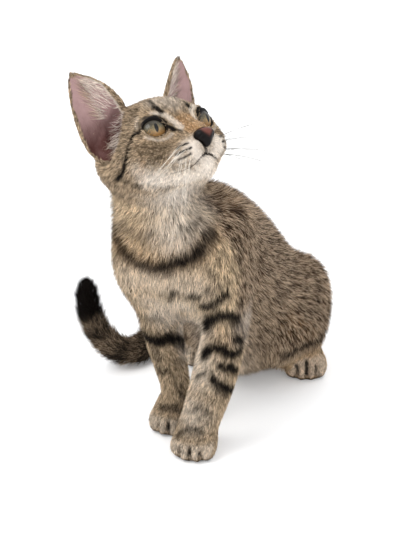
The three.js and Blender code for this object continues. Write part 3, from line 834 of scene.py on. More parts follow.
DARK_ON_BODY = {
    "necklace": (
        [(-41, -55, 157), (-41, -63, 152), (-33, -66, 146), (-25, -67, 142), (-15, -69, 140),
         (-4, -71, 143), (3, -71, 147), (10, -69, 149), (17, -67, 153), (22, -64, 159), (26, -60, 167)],
        4.8, 0.9,
    ),
    "necklace core": (
        [(-4, -71, 142), (3, -71, 145), (10, -69, 148), (17, -67, 152), (22, -64, 158)],
        3.4, 1.0,
    ),
    "necklace behind": ([(-41, -55, 157), (-40, -36, 168), (-34, -20, 180)], 5.0, 0.6),
    "upper ring right": ([(-39, -64, 163), (-30, -70, 165), (-20, -73, 164), (-12, -74, 163)], 3.4, 0.45),
    "upper ring left": ([(11, -67, 170), (15, -64, 171), (20, -59, 174)], 3.4, 0.45),
    # Painted shade down the kitten's right side of the neck.
    "painted shade on the side of the neck": ([(-40, -52, 172), (-36, -58, 184)], 7.5, 0.42),
    "side of the chest": ([(-38, -52, 138), (-36, -50, 118)], 7.0, 0.38),
    # A faint painted shade on the kitten's left side of the neck.
    "painted light and shade left of the neck": ([(21, -58, 178), (20, -56, 190)], 5.0, 0.04),
    "chest spot": ([(-6.6, -58, 113.8), (2.7, -63.9, 123.2)], 2.8, 1.0),
    "chest smudge": ([(9, -62, 120.7), (19.6, -63, 122.3)], 2.6, 0.95),
    "chest smudge above": ([(24.8, -66.8, 129.2), (30.8, -67.6, 129.9), (35.9, -66.4, 133.9)], 2.1, 0.65),
    "chest line": (
        [(18.4, -58.6, 112.8), (29, -65, 118.3), (36, -65.1, 124.8), (39.5, -63, 127.4)],
        2.9, 1.0,
    ),
    "upper arm band": (
        [(18.3, -53.3, 96.4), (24.2, -57, 103.6), (31.6, -61, 109), (36.6, -59.3, 110), (39.5, -56, 109),
         (41.3, -51.4, 105)],
        4.6, 1.0,
    ),
    "upper arm patch": ([(39.2, -53.4, 103.4), (42.7, -44, 94.6)], 2.4, 0.4),
    "elbow band": (
        [(20, -59, 77), (23, -59, 81.2), (27, -59, 84.2), (32, -58, 83.4), (36, -57, 81.4), (39, -54, 79.1),
         (42, -47, 79)],
        3.8, 1.0,
    ),
    "elbow mark": ([(40.5, -50, 89.7), (41.7, -44, 86)], 2.9, 1.0),
    "forearm band": ([(34.3, -60.3, 72.1), (38.6, -56.7, 69.7), (41.3, -50.6, 65.1)], 3.4, 1.0),
    "forearm line": ([(16.2, -62.4, 61.8), (22, -63.8, 66), (27, -64, 67), (32.5, -63, 64)], 1.8, 0.8),
    "forearm smudge": ([(20, -62.5, 71), (28, -62.8, 73)], 1.0, 0.35),
    "lower band": (
        [(29.5, -64.3, 62.5), (34, -62.7, 59.6), (37.8, -58, 55.8), (38.5, -52.5, 51)],
        3.2, 1.0,
    ),
    "lower line": ([(31, -64.3, 58.2), (35, -61.7, 53.2), (37, -57.6, 48.5)], 2.1, 0.85),
    "lower smudge": ([(29.8, -65.1, 56), (34.9, -61.6, 48.5)], 1.7, 0.5),
    "shin smudge": ([(24.8, -67, 52), (30, -65.6, 46.4)], 1.6, 0.4),
    "wrist line": ([(14.3, -68.4, 37.5), (21.9, -68.9, 42.5), (28.3, -66.6, 38)], 2.3, 0.6),
    "wrist mark": ([(22, -69, 34), (27, -66, 31)], 2.2, 0.45),
    "paw line": (
        [(4.9, -67.7, 16.5), (9.2, -68.8, 22), (14.8, -69.8, 25.9), (20, -69.7, 25.4), (23.6, -67.7, 22)],
        2.2, 0.75,
    ),
    "knuckles": ([(13.3, -69.6, 23.5), (19.3, -69.8, 20.6)], 2.4, 0.4),
    "right arm band": (
        [(-33, -41, 74), (-24.3, -45, 72.2), (-18.8, -44, 73.5), (-14.4, -40.3, 74.2), (-11, -34.3, 72),
         (-10.2, -26, 66)],
        4.8, 1.0,
    ),
    "right arm faint": ([(-32.9, -45.7, 89.2), (-25, -46, 89.4), (-19, -43, 90)], 2.6, 0.5),
    "right arm upper": ([(-39, -50, 112), (-42, -40, 108), (-44, -28, 103)], 2.0, 0.8),
    "right forearm 1": ([(-28, -42.5, 64), (-20.8, -44.8, 65)], 1.7, 0.75),
    "right forearm 2": ([(-29.2, -38.5, 56), (-18.8, -44.4, 60)], 1.9, 0.75),
    "right forearm 3": ([(-22.5, -43.2, 51.4), (-17.8, -43.6, 46.3), (-13.6, -42.7, 51.4)], 1.8, 0.85),
    "right inner patch": ([(-8.1, -40, 37.1), (-4.5, -36.2, 28)], 2.6, 0.75),
    "right inner line": ([(-12, -40, 58), (-8, -34, 56)], 2.0, 0.6),
    "right forearm side": ([(-30, -38, 47), (-29, -28, 44), (-25, -20, 43)], 1.6, 0.7),
    "right wrist": ([(-20, -42, 20), (-11, -42.6, 21.8), (-6, -40.5, 19.6)], 2.6, 0.8),
    "haunch edge": ([(57, 99, 50), (57, 96, 40), (55, 90, 30), (54, 80, 30)], 3.0, 0.7),
    # Painted shade in the fold where the haunch lies over the hind foot.
    "painted shade in the haunch fold": ([(40, 44, 30), (47, 48, 36), (54, 58, 37), (57, 72, 34), (56, 88, 30)], 3.0, 1.0),
    "back": (BACK_LINE, 9.0, 0.34),
}
WHITE_ON_HEAD = {
    "above the eye": (
        [(16.5, -24.4, 17.6), (10, -27.1, 14.2), (7.6, -31.1, 8.1), (7.3, -34.7, 3.6)],
        2.0, 0.66,
    ),
    "forehead": ([(0, -23, 21), (6, -18, 25)], 8.0, 0.5),
    "below the eye": (
        [(28.5, -17.3, 8.3), (26.2, -24.9, 2.3), (21.7, -27.8, -0.6), (15.1, -29.4, -0.3),
         (11.7, -29.9, 1.5)],
        1.0, 0.5,
    ),
    "outer halo": ([(23, -16.6, 17.2), (27.5, -19, 11.5)], 1.6, 0.3),
    "muzzle": ([(10, -42, -11), (7, -42, -18)], 7.0, 0.92),
    "whisker pad": ([(15, -36, -15)], 6.5, 0.65),
    "chin": ([(0, -38, -24)], 11.0, 1.0),
    "jaw": ([(26, -14, -20), (19, -20, -24), (10, -30, -27), (0, -34, -28)], 8.5, 0.9),
    "cheek": ([(30, -14, -14), (25, -16, -19)], 7.0, 0.58),
}
WHITE_ON_BODY = {
    "throat": ([(2, -62, 206), (4, -66, 194)], 19.0, 0.85),
    "bib": ([(8, -64, 186), (6, -70, 168)], 17.0, 0.66),
    # Painted light on the kitten's left side of the neck, which turns away from the key lamp.
    "painted light and shade left of the neck": ([(19, -60, 186), (20, -63, 172)], 10.0, 0.5),
    "chest": ([(-30, -62, 126), (-8, -66, 128), (16, -66, 130)], 14.0, 0.4),
    "lower chest": ([(-20, -50, 106), (-8, -48, 104), (4, -54, 108)], 11.0, 0.52),
    "between the legs": ([(-18, -44, 96), (-12, -38, 91), (0, -34, 84), (4, -30, 76)], 10.0, 0.62),
    "left leg": (LEG_LINES["left"][2:5], 14.0, 0.48),
    "inside the right arm": ([(-8, -28, 60), (-8, -26, 84)], 8.0, 0.6),
    "belly": ([(0, -10, 64), (0, 40, 34)], 20.0, 0.4),
}
WARM_ON_HEAD = {
    "under the eye": ([(30.5, -22, -3.5), (25.5, -26.8, -5.2), (18.5, -31, -7.2)], 6.0, 0.2),
    "nose bridge": ([(4, -32, 9), (4.6, -38, 3.5), (4.4, -43, -1)], 3.6, 0.9),
    "middle of the nose": ([(0, -30, 12), (0, -38, 6), (0, -43.5, 1)], 3.5, 0.6),
    "cheek": ([(31.7, -20.1, -10.4), (31.4, -14.2, -14.3), (27.5, -12.2, -19.5)], 2.0, 0.85),
    "forehead": ([(0, -25, 17)], 9.0, 0.12),
    "behind the ear": ([(24, 17, 18)], 10.0, 0.4),
}
WARM_ON_BODY = {
    "necklace": (
        [(-41, -63, 152), (-25, -67, 142), (-4, -71, 143), (17, -67, 153), (26, -60, 167)],
        7.0, 0.9,
    ),
    "neck": ([(-30, -66, 160), (0, -72, 160), (20, -64, 170)], 9.0, 0.25),
    "chest": ([(-30, -62, 128), (-8, -66, 130), (16, -66, 132)], 14.0, 0.2),
    "lower chest": ([(-20, -50, 106), (-4, -44, 98)], 10.0, 0.16),
    "withers": ([(12, -20, 170), (24, -34, 176)], 12.0, 0.3),
    "flank": ([(45, 44, 60), (50, 50, 50), (54, 62, 42)], 9.0, 0.35),
    "hind foot": ([(46, 80, 10), (50, 66, 8)], 15.0, 0.75),
    "elbow": ([(30, -62, 92)], 10.0, 0.25),
}

# Creases pressed into the outline: the middle of the lips and the cleft below the nose.
LIPS = [
    (0, -41.4, -16.2), (4, -40.8, -17.9), (7.8, -38.9, -20.3), (11.2, -35.9, -21.8), (14.7, -31, -21.9),
    (17.9, -25.5, -21.1),
]
BELOW_NOSE = [(0, -44, -10), (0, -42.6, -13), LIPS[0]]
CREASES_ON_HEAD = {"lips": (LIPS[:3], 0.5, 1.0), "below the nose": (BELOW_NOSE, 0.6, 1.0)}
print("marks", sum(len(marks) for marks in (DARK_ON_HEAD, DARK_ON_BODY, WHITE_ON_HEAD, WHITE_ON_BODY)))

# %% Marks laid on the skin
# The edge of a mark and of a wide soft place: where it starts and ends, in half widths from the middle line.
SHARP_EDGE = (0.65, 1.45)
SOFT_EDGE = (0.1, 1.8)
SOFT_FROM = 5
STEPS_PER_POINT = 4
CREASE_DEEP = 0.9

ragged_edge = np.sin(body_spots @ (0.9, 0.5, 1.3)) * np.sin(body_spots @ (-1.1, 1.2, 0.7) + 1.0) * 0.2


def outline_tree():
    return BVHTree.FromPolygons(coat.spots.tolist(), coat.faces.tolist())


def place_at(points, t):
    """The place at t along a line, where a whole t is one of its points."""
    return points[int(t)].lerp(points[min(int(t) + 1, len(points) - 1)], t % 1)


def painted(marks, place, sides=(1,)):
    """How strongly each corner of the skin is covered by some marks."""
    cover = np.zeros(coat.count)
    for line, half, strength in marks.values():
        edge = SHARP_EDGE if half < SOFT_FROM else SOFT_EDGE
        for side in sides:
            points = [place(x * side, y, z) for x, y, z in line]
            steps = len(points) * STEPS_PER_POINT if len(points) > 1 else 1
            on_line = [place_at(points, t) for t in np.linspace(0, len(points) - 1, steps)]
            laid = np.array([outer_tree.find_nearest(spot)[0] for spot in on_line])
            low, high = laid.min(0) - half * 2 * MM, laid.max(0) + half * 2 * MM
            some = np.nonzero(((coat.spots > low) & (coat.spots < high)).all(1))[0]
            apart = np.linalg.norm(coat.spots[some][:, None] - laid[None], axis=2).min(1) / (half * MM)
            mask = 1 - step_up(apart + ragged_edge[some], *edge)
            cover[some] = np.maximum(cover[some], mask * strength)
    return cover


def on_both(head_marks, body_marks):
    """Marks of the head, mirrored, together with those of the body."""
    return np.maximum(painted(head_marks, on_head, (1, -1)), painted(body_marks, on_body))


outer_tree = outline_tree()
lip_line = painted(CREASES_ON_HEAD, on_head, (1, -1))
coat.spots -= coat.out * lip_line[:, None] * CREASE_DEEP * MM
dark = on_both(DARK_ON_HEAD, DARK_ON_BODY)
white = np.maximum(on_both(WHITE_ON_HEAD, WHITE_ON_BODY), 0.85 * step_up(ear_hairs, 0.02, 0.2))
warm = on_both(WARM_ON_HEAD, WARM_ON_BODY)
for name, field in (("dark", dark), ("white", white), ("warm", warm)):
    print(name, "on", int((field > 0.3).sum()), "corners")

# %% The pale front
# The chest and the fronts of the shoulders are pale up to a wavy edge that runs down behind the foreleg.
EDGE_BEHIND = 54.0
HALF_EDGE = 4
TRUNK_KINDS = [KINDS.index(kind) for kind in ("neck", "shoulder", "thorax", "abdomen", "rump", "thigh")]

on_trunk = coat.eased(np.isin(kinds, TRUNK_KINDS).astype(float), 8)
wavy = 1.6 * np.sin(body_z / 7) + 1.2 * np.sin(body_z / 3.1 + 1)
faces_front = step_up(-body_y + wavy, EDGE_BEHIND - HALF_EDGE, EDGE_BEHIND + HALF_EDGE)
faces_front *= 1 - step_up(body_z, 196, 216) * step_up(body_y, -66, -50)
between_legs = step_up(26 - body_x, 0, 6) * step_up(body_x + 36, 0, 6)
between_legs *= step_up(-body_y, 18, 32) * (1 - step_up(body_z, 122, 136))
faces_front = np.maximum(faces_front, between_legs)
faces_down = step_up(-coat.out[:, 2], 0.05, 0.75)
pale_front = np.clip(0.12 + 0.78 * faces_front + 0.35 * faces_down, 0, 1)
buff = buff * (1 - on_trunk) + pale_front * on_trunk
print("mean ground, from 0 for brown to 1 for buff", round(float(buff.mean()), 2))

# %% Faint upright stripes on the flanks and haunches
STRIPE_EVERY = 17.0
STRIPES_DARK = 0.34

along_back = body_spots @ (0.0, 0.8, -0.6) + 5 * np.sin(body_z / 13) + 3 * np.sin(body_y / 9)
flank_stripes = step_up(np.sin(along_back * 2 * math.pi / STRIPE_EVERY), 0.1, 0.9)
flank_stripes *= 0.4 + 0.6 * step_up(np.sin(body_spots @ (0.11, 0.07, 0.13)), -0.4, 0.6)
flank_stripes = STRIPES_DARK * flank_stripes * on_trunk * (1 - faces_front) * (1 - 0.6 * faces_down)
dark = np.maximum(dark, flank_stripes)
print("striped corners", int((flank_stripes > 0.2).sum()))

# %% Rings on the tail, and its black tip
TAIL_RINGS = 9
TAIL_DARK = 0.52
RINGS_DARK = 0.36
BLACK_TIP_FROM = (0.83, 0.93)

tail_places, _ = guide(TAIL_LINE)
tail_tree = KDTree(len(tail_places))
for index, spot in enumerate(tail_places):
    tail_tree.insert(Vector(spot), index)
tail_tree.balance()
on_tail = is_kind("tail")
tail_way = np.zeros(coat.count)
for corner in np.nonzero(on_tail)[0]:
    tail_way[corner] = tail_tree.find(Vector(body_spots[corner]))[1] / len(tail_places)
rings = step_up(np.sin(tail_way * 2 * math.pi * TAIL_RINGS), -0.2, 0.8)
tail_dark = TAIL_DARK + RINGS_DARK * rings + 0.06 * step_up(tail_way, 0.2, 0.5)
tail_dark += 0.6 * step_up(tail_way, *BLACK_TIP_FROM)
dark = np.maximum(dark, np.clip(coat.eased(on_tail * tail_dark, 4), 0, 1))
print("tail corners", int(on_tail.sum()))

# %% Dark soles, painted shade in the clefts and below the toes, and pale tops of the toes
# Painted shade darkens the clefts between the toes. Below the toes the dark pads and fur also carry painted
# shadow where the paw meets the floor. The front half of the right hind foot, between the forelegs, is the
# palest, and its clefts get less of the painted shade.
PALE_FOOT_TO = (66, 84)
SOLE_EDGE = (1.2, 4.6)

pale_foot = (part_of == FLESH.index("hindfoot_right")) * (1 - step_up(body_y, *PALE_FOOT_TO))
dark = np.maximum(dark, 0.95 * step_up(toe_gap, 0.3, 0.95) * (1 - 0.6 * pale_foot))
dark = np.maximum(dark, 0.9 * toe_like * (1 - step_up(body_z, *SOLE_EDGE)))
white = np.maximum.reduce([white, 0.4 * toe_top, 0.45 * pale_foot])
print("mean dark", round(float(dark.mean()), 2), "mean white", round(float(white.mean()), 2))

# %% Bare skin's own colours, with painted shade deep in the ears
pink = step_up(inner_ear, 0.35, 0.8)
# Low in the hollow of each ear the pink darkens: painted shade deep in the ear.
ear_deep_shade = 1 - step_up(left_spots @ (0.28, 0.0, 0.96), 20, 46)
bare = np.maximum(bare, step_up(lip_line, 0.45, 0.7))
black = np.clip(eye_rim + near_spots(head_spots, NOSE_AT, 5.2, 0.9), 0, 1)
print("pink corners", int((pink > 0.5).sum()), "black corners", int((black > 0.5).sum()))

# %% [markdown]
# ## Skin below the coat
#
# The smooth outline is the reach of the fur's tips. The skin itself lies deeper by the depth of the coat,
# hardly at all on the nose and ears and some millimetres on the chest.

# %% The skin piece
skin_spots = coat.spots - coat.out * depth[:, None] * MM
for _ in range(2):
    skin_spots = skin_spots + (coat.eased(skin_spots, 1) - skin_spots) * (1 - fine_part)[:, None]
skin_spots[:, 2] = np.maximum(skin_spots[:, 2], 0.0)


def keep_fields(mesh, name, *channels):
    """Stores up to four fields as one colour on the corners of a mesh."""
    values = np.ones((len(mesh.vertices), 4), np.float32)
    for index, channel in enumerate(channels):
        values[:, index] = channel
    layer = mesh.color_attributes.new(name, "FLOAT_COLOR", "POINT")
    layer.data.foreach_set("color", values.ravel())


def piece(name, mesh, look):
    """A finished piece that rides on the kitten's one body."""
    mesh.name = name
    mesh.materials.clear()
    mesh.materials.append(look.material)
    mesh.polygons.foreach_set("use_smooth", np.ones(len(mesh.polygons), bool))
    thing = add_object(name, mesh)
    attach(thing, "root")
    return thing


skin_mesh = clay.data
skin_mesh.vertices.foreach_set("co", skin_spots.ravel())
bpy.data.objects.remove(clay)
keep_fields(skin_mesh, "marks", buff, white, warm, dark)
keep_fields(skin_mesh, "bare", pink, np.maximum(black, step_up(lip_line, 0.3, 0.7)), ear_deep_shade)
print("skin depth", round(float(depth.mean()), 2), "mm on the mean")

# %% [markdown]
# ## The colour of fur
#
# Every tabby hair is banded: dark at the root, pale in the middle and dark or pale at its tip. The darkening
# towards the root of each tuft is also painted shade deep in the coat. Seen together such hairs look
# grizzled.
# The marks give the ground, and two more fields on the tufts, how far along the hair a place is and a number
# of its own for each hair, give the bands.

# %% Fur colours
BACK_BROWN = linear("#5b4233")
BUFF = linear("#dcc4a2")
WHITE = linear("#fbf1e5")
TAN = linear("#b88a56")
BLACK = linear("#120d0a")
PINK = linear("#ad8f8d")
DEEP_PINK = linear("#4f302c")


WARM_SHARE = 0.75
WHITE_LIGHT = 0.95
WHITE_EVENED = 0.55


def fur_colour(look, light):
    """The ground colour under the marks, with light as how bright each hair is, and the marks themselves."""
    ground, white_mark, warm_mark = look.parts(look.attribute("marks"))
    dark_mark = look.attribute("marks", "Alpha")
    colour = look.mix(BACK_BROWN, BUFF, ground)
    colour = look.mix(colour, TAN, warm_mark * WARM_SHARE)
    colour = look.mix(colour, WHITE, white_mark)
    # White hair is evened towards one brightness, which takes away part of each hair's own tone and of the
    # painted shade at the roots.
    light = light + (WHITE_LIGHT - light) * white_mark * WHITE_EVENED
    grey = look.node("ShaderNodeCombineColor", values={0: light, 1: light, 2: light})
    colour = look.mix(colour, grey, 1.0, "MULTIPLY")
    return look.mix(colour, BLACK, dark_mark), white_mark, dark_mark, ground


skin_look = Look("skin under the coat", Roughness=0.7, Specular_IOR_Level=0.15)
fluff = skin_look.noise(900.0, 3.0)
patches = skin_look.noise(60.0, 2.0)
skin_colour = fur_colour(skin_look, (fluff * 0.7 + 0.3) * (patches * 0.5 + 0.65))[0]
pink_mask, black_mask, ear_shade_mask = skin_look.parts(skin_look.attribute("bare"))
# A blotchy pink from noise, and the painted shade deep in the ears.
flush_and_ear_shade = skin_look.noise(140.0, 2.0) * 0.4 + ear_shade_mask * 0.8
skin_colour = skin_look.mix(skin_colour, skin_look.mix(PINK, DEEP_PINK, flush_and_ear_shade), pink_mask)
skin_colour = skin_look.mix(skin_colour, BLACK, black_mask)
skin_look.feed("Base Color", skin_colour)
skin_look.feed("Normal", skin_look.bump(fluff, 0.0006, 0.6))
skin = piece("skin", skin_mesh, skin_look)
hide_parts(*FLESH)
print("skin", len(skin_mesh.vertices), "corners")

# %% [markdown]
# ## Tufts
#
# One tuft is a thin closed spike: a cone of three sides whose base is drawn out to a point, so that it is
# thickest a third of the way along and fine at both ends. It is copied to places strewn over the skin,
# where each copy takes the length, width and lie of its place, leaves the skin at a slant and ends near the
# outline. Joined meshes made from arrays take seconds for a quarter of a million tufts; instances would be
# lighter but are lost when the model leaves Blender.

# %% One tuft
THICKEST_AT = 0.38
bm = bmesh.new()
bmesh.ops.create_cone(bm, cap_ends=True, cap_tris=True, segments=3, radius1=0.5, radius2=0, depth=1)
bm.verts.ensure_lookup_table()
for corner in bm.verts:
    corner.co.z += 0.5
    if corner.co.z < 0.5:
        corner.co.z = THICKEST_AT if corner.co.xy.length > 0.1 else 0
bmesh.ops.recalc_face_normals(bm, faces=bm.faces)
bmesh.ops.triangulate(bm, faces=bm.faces)
TUFT_SHAPE = np.array([corner.co for corner in bm.verts])
TUFT_FACES = np.array([[corner.index for corner in face.verts] for face in bm.faces])
bm.free()
print("one tuft", len(TUFT_SHAPE), "corners", len(TUFT_FACES), "faces")

# %% The patch of one tuft
# The six faces of a tuft lie side by side in its patch: three above, by the tip, and three below, by the
# root.
PATCH = 0.003

PATCH_SHAPE = np.zeros((len(TUFT_FACES), 3, 2))
columns = {True: 0, False: 0}
for row, face in enumerate(TUFT_FACES):
    heights = TUFT_SHAPE[face][:, 2]
    upper = bool(heights.max() > THICKEST_AT)
    column = columns[upper]
    columns[upper] += 1
    end = int(np.argmax(heights) if upper else np.argmin(heights))
    PATCH_SHAPE[row, end] = ((column + 0.5) / 3 - 0.5, 0.5 if upper else -0.5)
    PATCH_SHAPE[row, end - 2] = ((column + 1) / 3 - 0.5, THICKEST_AT - 0.5)
    PATCH_SHAPE[row, end - 1] = (column / 3 - 0.5, THICKEST_AT - 0.5)
PATCH_SHAPE *= PATCH
print("patch of a tuft", PATCH_SHAPE.reshape(-1, 2).min(0), PATCH_SHAPE.reshape(-1, 2).max(0))


# %% Many tufts as one mesh
def mesh_of(name, places, faces):
    """A mesh from an array of places and an array of triangles."""
    mesh = bpy.data.meshes.new(name)
    mesh.vertices.add(len(places))
    mesh.vertices.foreach_set("co", places.astype(np.float32).ravel())
    mesh.loops.add(faces.size)
    mesh.loops.foreach_set("vertex_index", faces.astype(np.int32).ravel())
    mesh.polygons.add(len(faces))
    mesh.polygons.foreach_set("loop_start", np.arange(0, faces.size, 3, dtype=np.int32))
    mesh.update(calc_edges=True)
    return mesh


def tuft_mesh(name, roots, bends, tips, ups, half_widths, patches, marks, numbers):
    """Copies of the one tuft, each bent from its root over its bend to its tip."""
    along = unit(tips - roots)
    sides = unit(np.cross(along, ups))
    rises = np.cross(sides, along)
    x, y, t = TUFT_SHAPE.T[:, None, :, None]
    spine = roots[:, None] * (1 - t) ** 2 + bends[:, None] * 2 * t * (1 - t) + tips[:, None] * t**2
    across = x * sides[:, None] + y * 0.5 * rises[:, None]
    places = spine + across * 2 * half_widths[:, None, None]
    count, corners_each = len(roots), len(TUFT_SHAPE)
    faces = (TUFT_FACES[None] + (np.arange(count) * corners_each)[:, None, None]).reshape(-1, 3)
    mesh = mesh_of(name, places.reshape(-1, 3), faces)

    share = np.clip((t - THICKEST_AT) / (1 - THICKEST_AT), 0, 1)
    marks = marks[0][:, None] * (1 - share) + marks[1][:, None] * share
    keep_fields(mesh, "marks", *marks.reshape(-1, 4).T)
    keep_fields(mesh, "hair", np.tile(TUFT_SHAPE[:, 2], count), *np.repeat(numbers, corners_each, 0).T)
    spread = patches[:, None, None] + PATCH_SHAPE[None]
    mesh.uv_layers.new(name="OFBake").data.foreach_set("uv", spread.astype(np.float32).ravel())
    return mesh


# %% [markdown]
# ## Where the tufts grow
#
# The number of tufts on a face of the skin is its area times the number for its part, and none on bare
# skin. The patch of each tuft lies at its root's place on an unwrap of the skin under its region, so that
# neighbours in the coat are neighbours in the picture that is baked from it.

# %% Tufts for each face of the skin
TUFTS_SHARE = 1.0

outer_tree = outline_tree()
fields = np.stack([length, width, depth, stand, buff, white, warm, dark], 1)
corners = skin_spots[coat.faces]
face_area = np.linalg.norm(np.cross(corners[:, 1] - corners[:, 0], corners[:, 2] - corners[:, 0]), axis=1) / 2
face_bare = bare[coat.faces].mean(1)
face_tufts = face_area / MM**2 * tufts_per_mm2[coat.faces].mean(1) * (face_bare < 0.5)
face_part = part_of[coat.faces[:, 0]]
print("tufts in all", round(face_tufts.sum()))


# %% An unwrap of a region
ISLAND_ANGLE = math.radians(72)
ISLAND_GAP = 0.004


def unwrapped(faces):
    """Places on an unwrap of some faces of the skin, for each of their corners."""
    used, new_index = np.unique(coat.faces[faces], return_inverse=True)
    mesh = bpy.data.meshes.new("unwrap")
    mesh.from_pydata(skin_spots[used].tolist(), [], new_index.reshape(-1, 3).tolist())
    thing = add_object("unwrap", mesh)
    bpy.context.view_layer.objects.active = thing
    thing.select_set(True)
    bpy.ops.object.mode_set(mode="EDIT")
    bpy.ops.mesh.select_all(action="SELECT")
    bpy.ops.uv.smart_project(angle_limit=ISLAND_ANGLE, island_margin=ISLAND_GAP)
    bpy.ops.object.mode_set(mode="OBJECT")
    places = read_rows(mesh.uv_layers.active.data, "uv", 2, np.float32)
    bpy.data.objects.remove(thing)
    bpy.data.meshes.remove(mesh)
    return places.reshape(-1, 3, 2)


# %% [markdown]
# ## Growing the coat
#
# The coat is grown region by region. Tufts are strewn over the skin and laid along its lie with some
# spread. A lock is made by drawing the tips of neighbouring tufts together, fine hairs least. The tips are
# then held near the outline, past which only strays and some whole locks stand out. The marks of a tuft are
# read at two places along it, and the dark of the first is carried to the tip, so that a band keeps its
# edge under long hair.


# %% Tufts strewn over the skin
def strewn(rng, faces):
    """For each tuft the row of its face and its place there, as weights of the three corners."""
    number = np.floor(face_tufts[faces] * TUFTS_SHARE + rng.random(len(faces))).astype(int)
    on_face = np.repeat(np.arange(len(faces)), number)
    a, b = rng.random((2, len(on_face)))
    a, b = np.where(a + b > 1, 1 - a, a), np.where(a + b > 1, 1 - b, b)
    return on_face, np.stack([1 - a - b, a, b], 1)


def blend_corners(field, faces, weights):
    return (field[coat.faces[faces]] * weights[..., None]).sum(1)


# %% Locks
# One tuft in so many leads a lock. The tips of a lock are drawn together by a share, less where hairs are
# fine.
TUFTS_IN_LOCK = 1.45**2 * 1.6
CLUMPED = 0.45
CLUMPING_WIDTH = 0.4 * MM


def leaders_of(rng, roots):
    """For each tuft the nearest of a few that lead."""
    leaders = rng.choice(len(roots), max(int(len(roots) / TUFTS_IN_LOCK), 1), replace=False)
    lead_tree = KDTree(len(leaders))
    for index, leader in enumerate(leaders):
        lead_tree.insert(Vector(roots[leader]), index)
    lead_tree.balance()
    return leaders[[lead_tree.find(Vector(root))[1] for root in roots]]


# %% Tips held near the outline
# Strays are thin and stand out alone, by a share of what their part allows, but not straight up.
STRAY = 0.28
STRAY_OUT = (0.4, 1.4)
STRAY_MOST = 0.7
HELD = 0.9


def outline_near(spots):
    """The nearest places on the coat's outline, the way out there and the faces they lie on."""
    places, ways, faces, _ = zip(*(outer_tree.find_nearest(Vector(spot)) for spot in spots))
    return np.array(places), np.array(ways), np.array(faces)


def held_in(rng, roots, tips, lead, long, deep, out_by):
    """Tips drawn to the height over the outline that each is allowed, and which tufts are strays."""
    on_outline, outline_up, _ = outline_near(roots + (tips - roots) * 0.75)
    height = ((tips - on_outline) * outline_up).sum(1)
    count = len(roots)
    stray = rng.random(count) < STRAY
    allowed = (rng.random(count) ** 2 * 0.5 - 0.25) * deep
    allowed += out_by * (0.4 * rng.random(count) ** 2 + 0.6 * rng.random(count)[lead] ** 2)
    out_alone = np.minimum(out_by * rng.uniform(*STRAY_OUT, count), STRAY_MOST * long)
    allowed = np.where(stray, out_alone, allowed)
    return tips - outline_up * (height - allowed)[:, None] * HELD, stray


# %% The marks of a tuft
READ_AT = (0.45, 0.9)
DARK_CARRIED = 0.8
LONG_HAIR = 6 * MM
RAGGED_BANDS = 1.5
LEAST_APART = 0.05 * MM


def marks_along(rng, roots, tips, long):
    """Ground, white, warm and dark where the middle and the tip of each tuft lie."""
    marks = []
    ragged = rng.random(len(roots)) - 0.5
    for share in READ_AT:
        place, _, faces_there = outline_near(roots + (tips - roots) * share)
        near = coat.spots[coat.faces[faces_there]]
        nearness = 1 / (np.linalg.norm(near - place[:, None], axis=2) + LEAST_APART) ** 2
        here = blend_corners(fields[:, 4:8], faces_there, nearness / nearness.sum(1, keepdims=True))
        here[:, 3] = np.clip(here[:, 3] + ragged * RAGGED_BANDS * here[:, 3] * (1 - here[:, 3]), 0, 1)
        marks.append(here)
    carried = marks[0][:, 3] * DARK_CARRIED * np.clip(long / LONG_HAIR, 0, 1) ** 2
    marks[1][:, 3] = np.maximum(marks[1][:, 3], carried)
    return marks


# %% One region of the coat
# Spread of the lie in degrees, and how far length, rise and half width vary from tuft to tuft.
SPREAD = 19.0
LONG_VARIES = (0.7, 1.2)
RISE_VARIES = (0.6, 1.08)
WIDTH_VARIES = (0.4, 0.62)
STRAY_THIN = 0.6
# Where a tuft bends, as a share of its length and of its rise.
BEND_AT, BEND_UP = 0.42, 0.55
ROOT_SUNK = 0.25 * MM
OFF_FLOOR = 0.2 * MM


def grow(name, look, seed, nodes, only):
    """A piece of the coat on the skin of some nodes, on all their faces or on some only."""
    chosen = np.isin(face_part, [FLESH.index(node) for node in nodes]) & only
    faces = np.nonzero(chosen & (face_tufts > 0))[0]
    rng = np.random.default_rng(seed)
    on_face, weights = strewn(rng, faces)
    face, count = faces[on_face], len(on_face)
    roots = blend_corners(skin_spots, face, weights)
    ups = unit(blend_corners(coat.out, face, weights))
    ways = laid_flat(blend_corners(lie, face, weights), ups)
    long, wide, deep, out_by = blend_corners(fields[:, :4], face, weights).T * MM

    turn = np.radians(rng.normal(0, SPREAD, count))[:, None]
    ways = ways * np.cos(turn) + np.cross(ups, ways) * np.sin(turn)
    long = long * rng.uniform(*LONG_VARIES, count)
    rise = deep * rng.uniform(*RISE_VARIES, count)
    tips = roots + ways * long[:, None] + ups * rise[:, None]
    lead = leaders_of(rng, roots)
    tips += (tips[lead] - tips) * (CLUMPED * np.clip(wide / CLUMPING_WIDTH, 0, 1) ** 2)[:, None]
    lock_number = rng.random(count)[lead]
    tips, stray = held_in(rng, roots, tips, lead, long, deep, out_by)
    marks = marks_along(rng, roots, tips, long)
    tips[:, 2] = np.maximum(tips[:, 2], OFF_FLOOR)

    bends = roots + (tips - roots) * BEND_AT + ups * rise[:, None] * BEND_UP
    patches = (unwrapped(faces)[on_face] * weights[..., None]).sum(1)
    half_widths = wide * rng.uniform(*WIDTH_VARIES, count) * np.where(stray, STRAY_THIN, 1.0)
    numbers = np.stack([rng.random(count), rng.random(count), lock_number], 1)
    mesh = tuft_mesh(name, roots - ups * ROOT_SUNK, bends, tips, ups, half_widths, patches, marks, numbers)
    piece(name, mesh, look)
    print(name, count, "tufts", len(mesh.polygons), "faces")


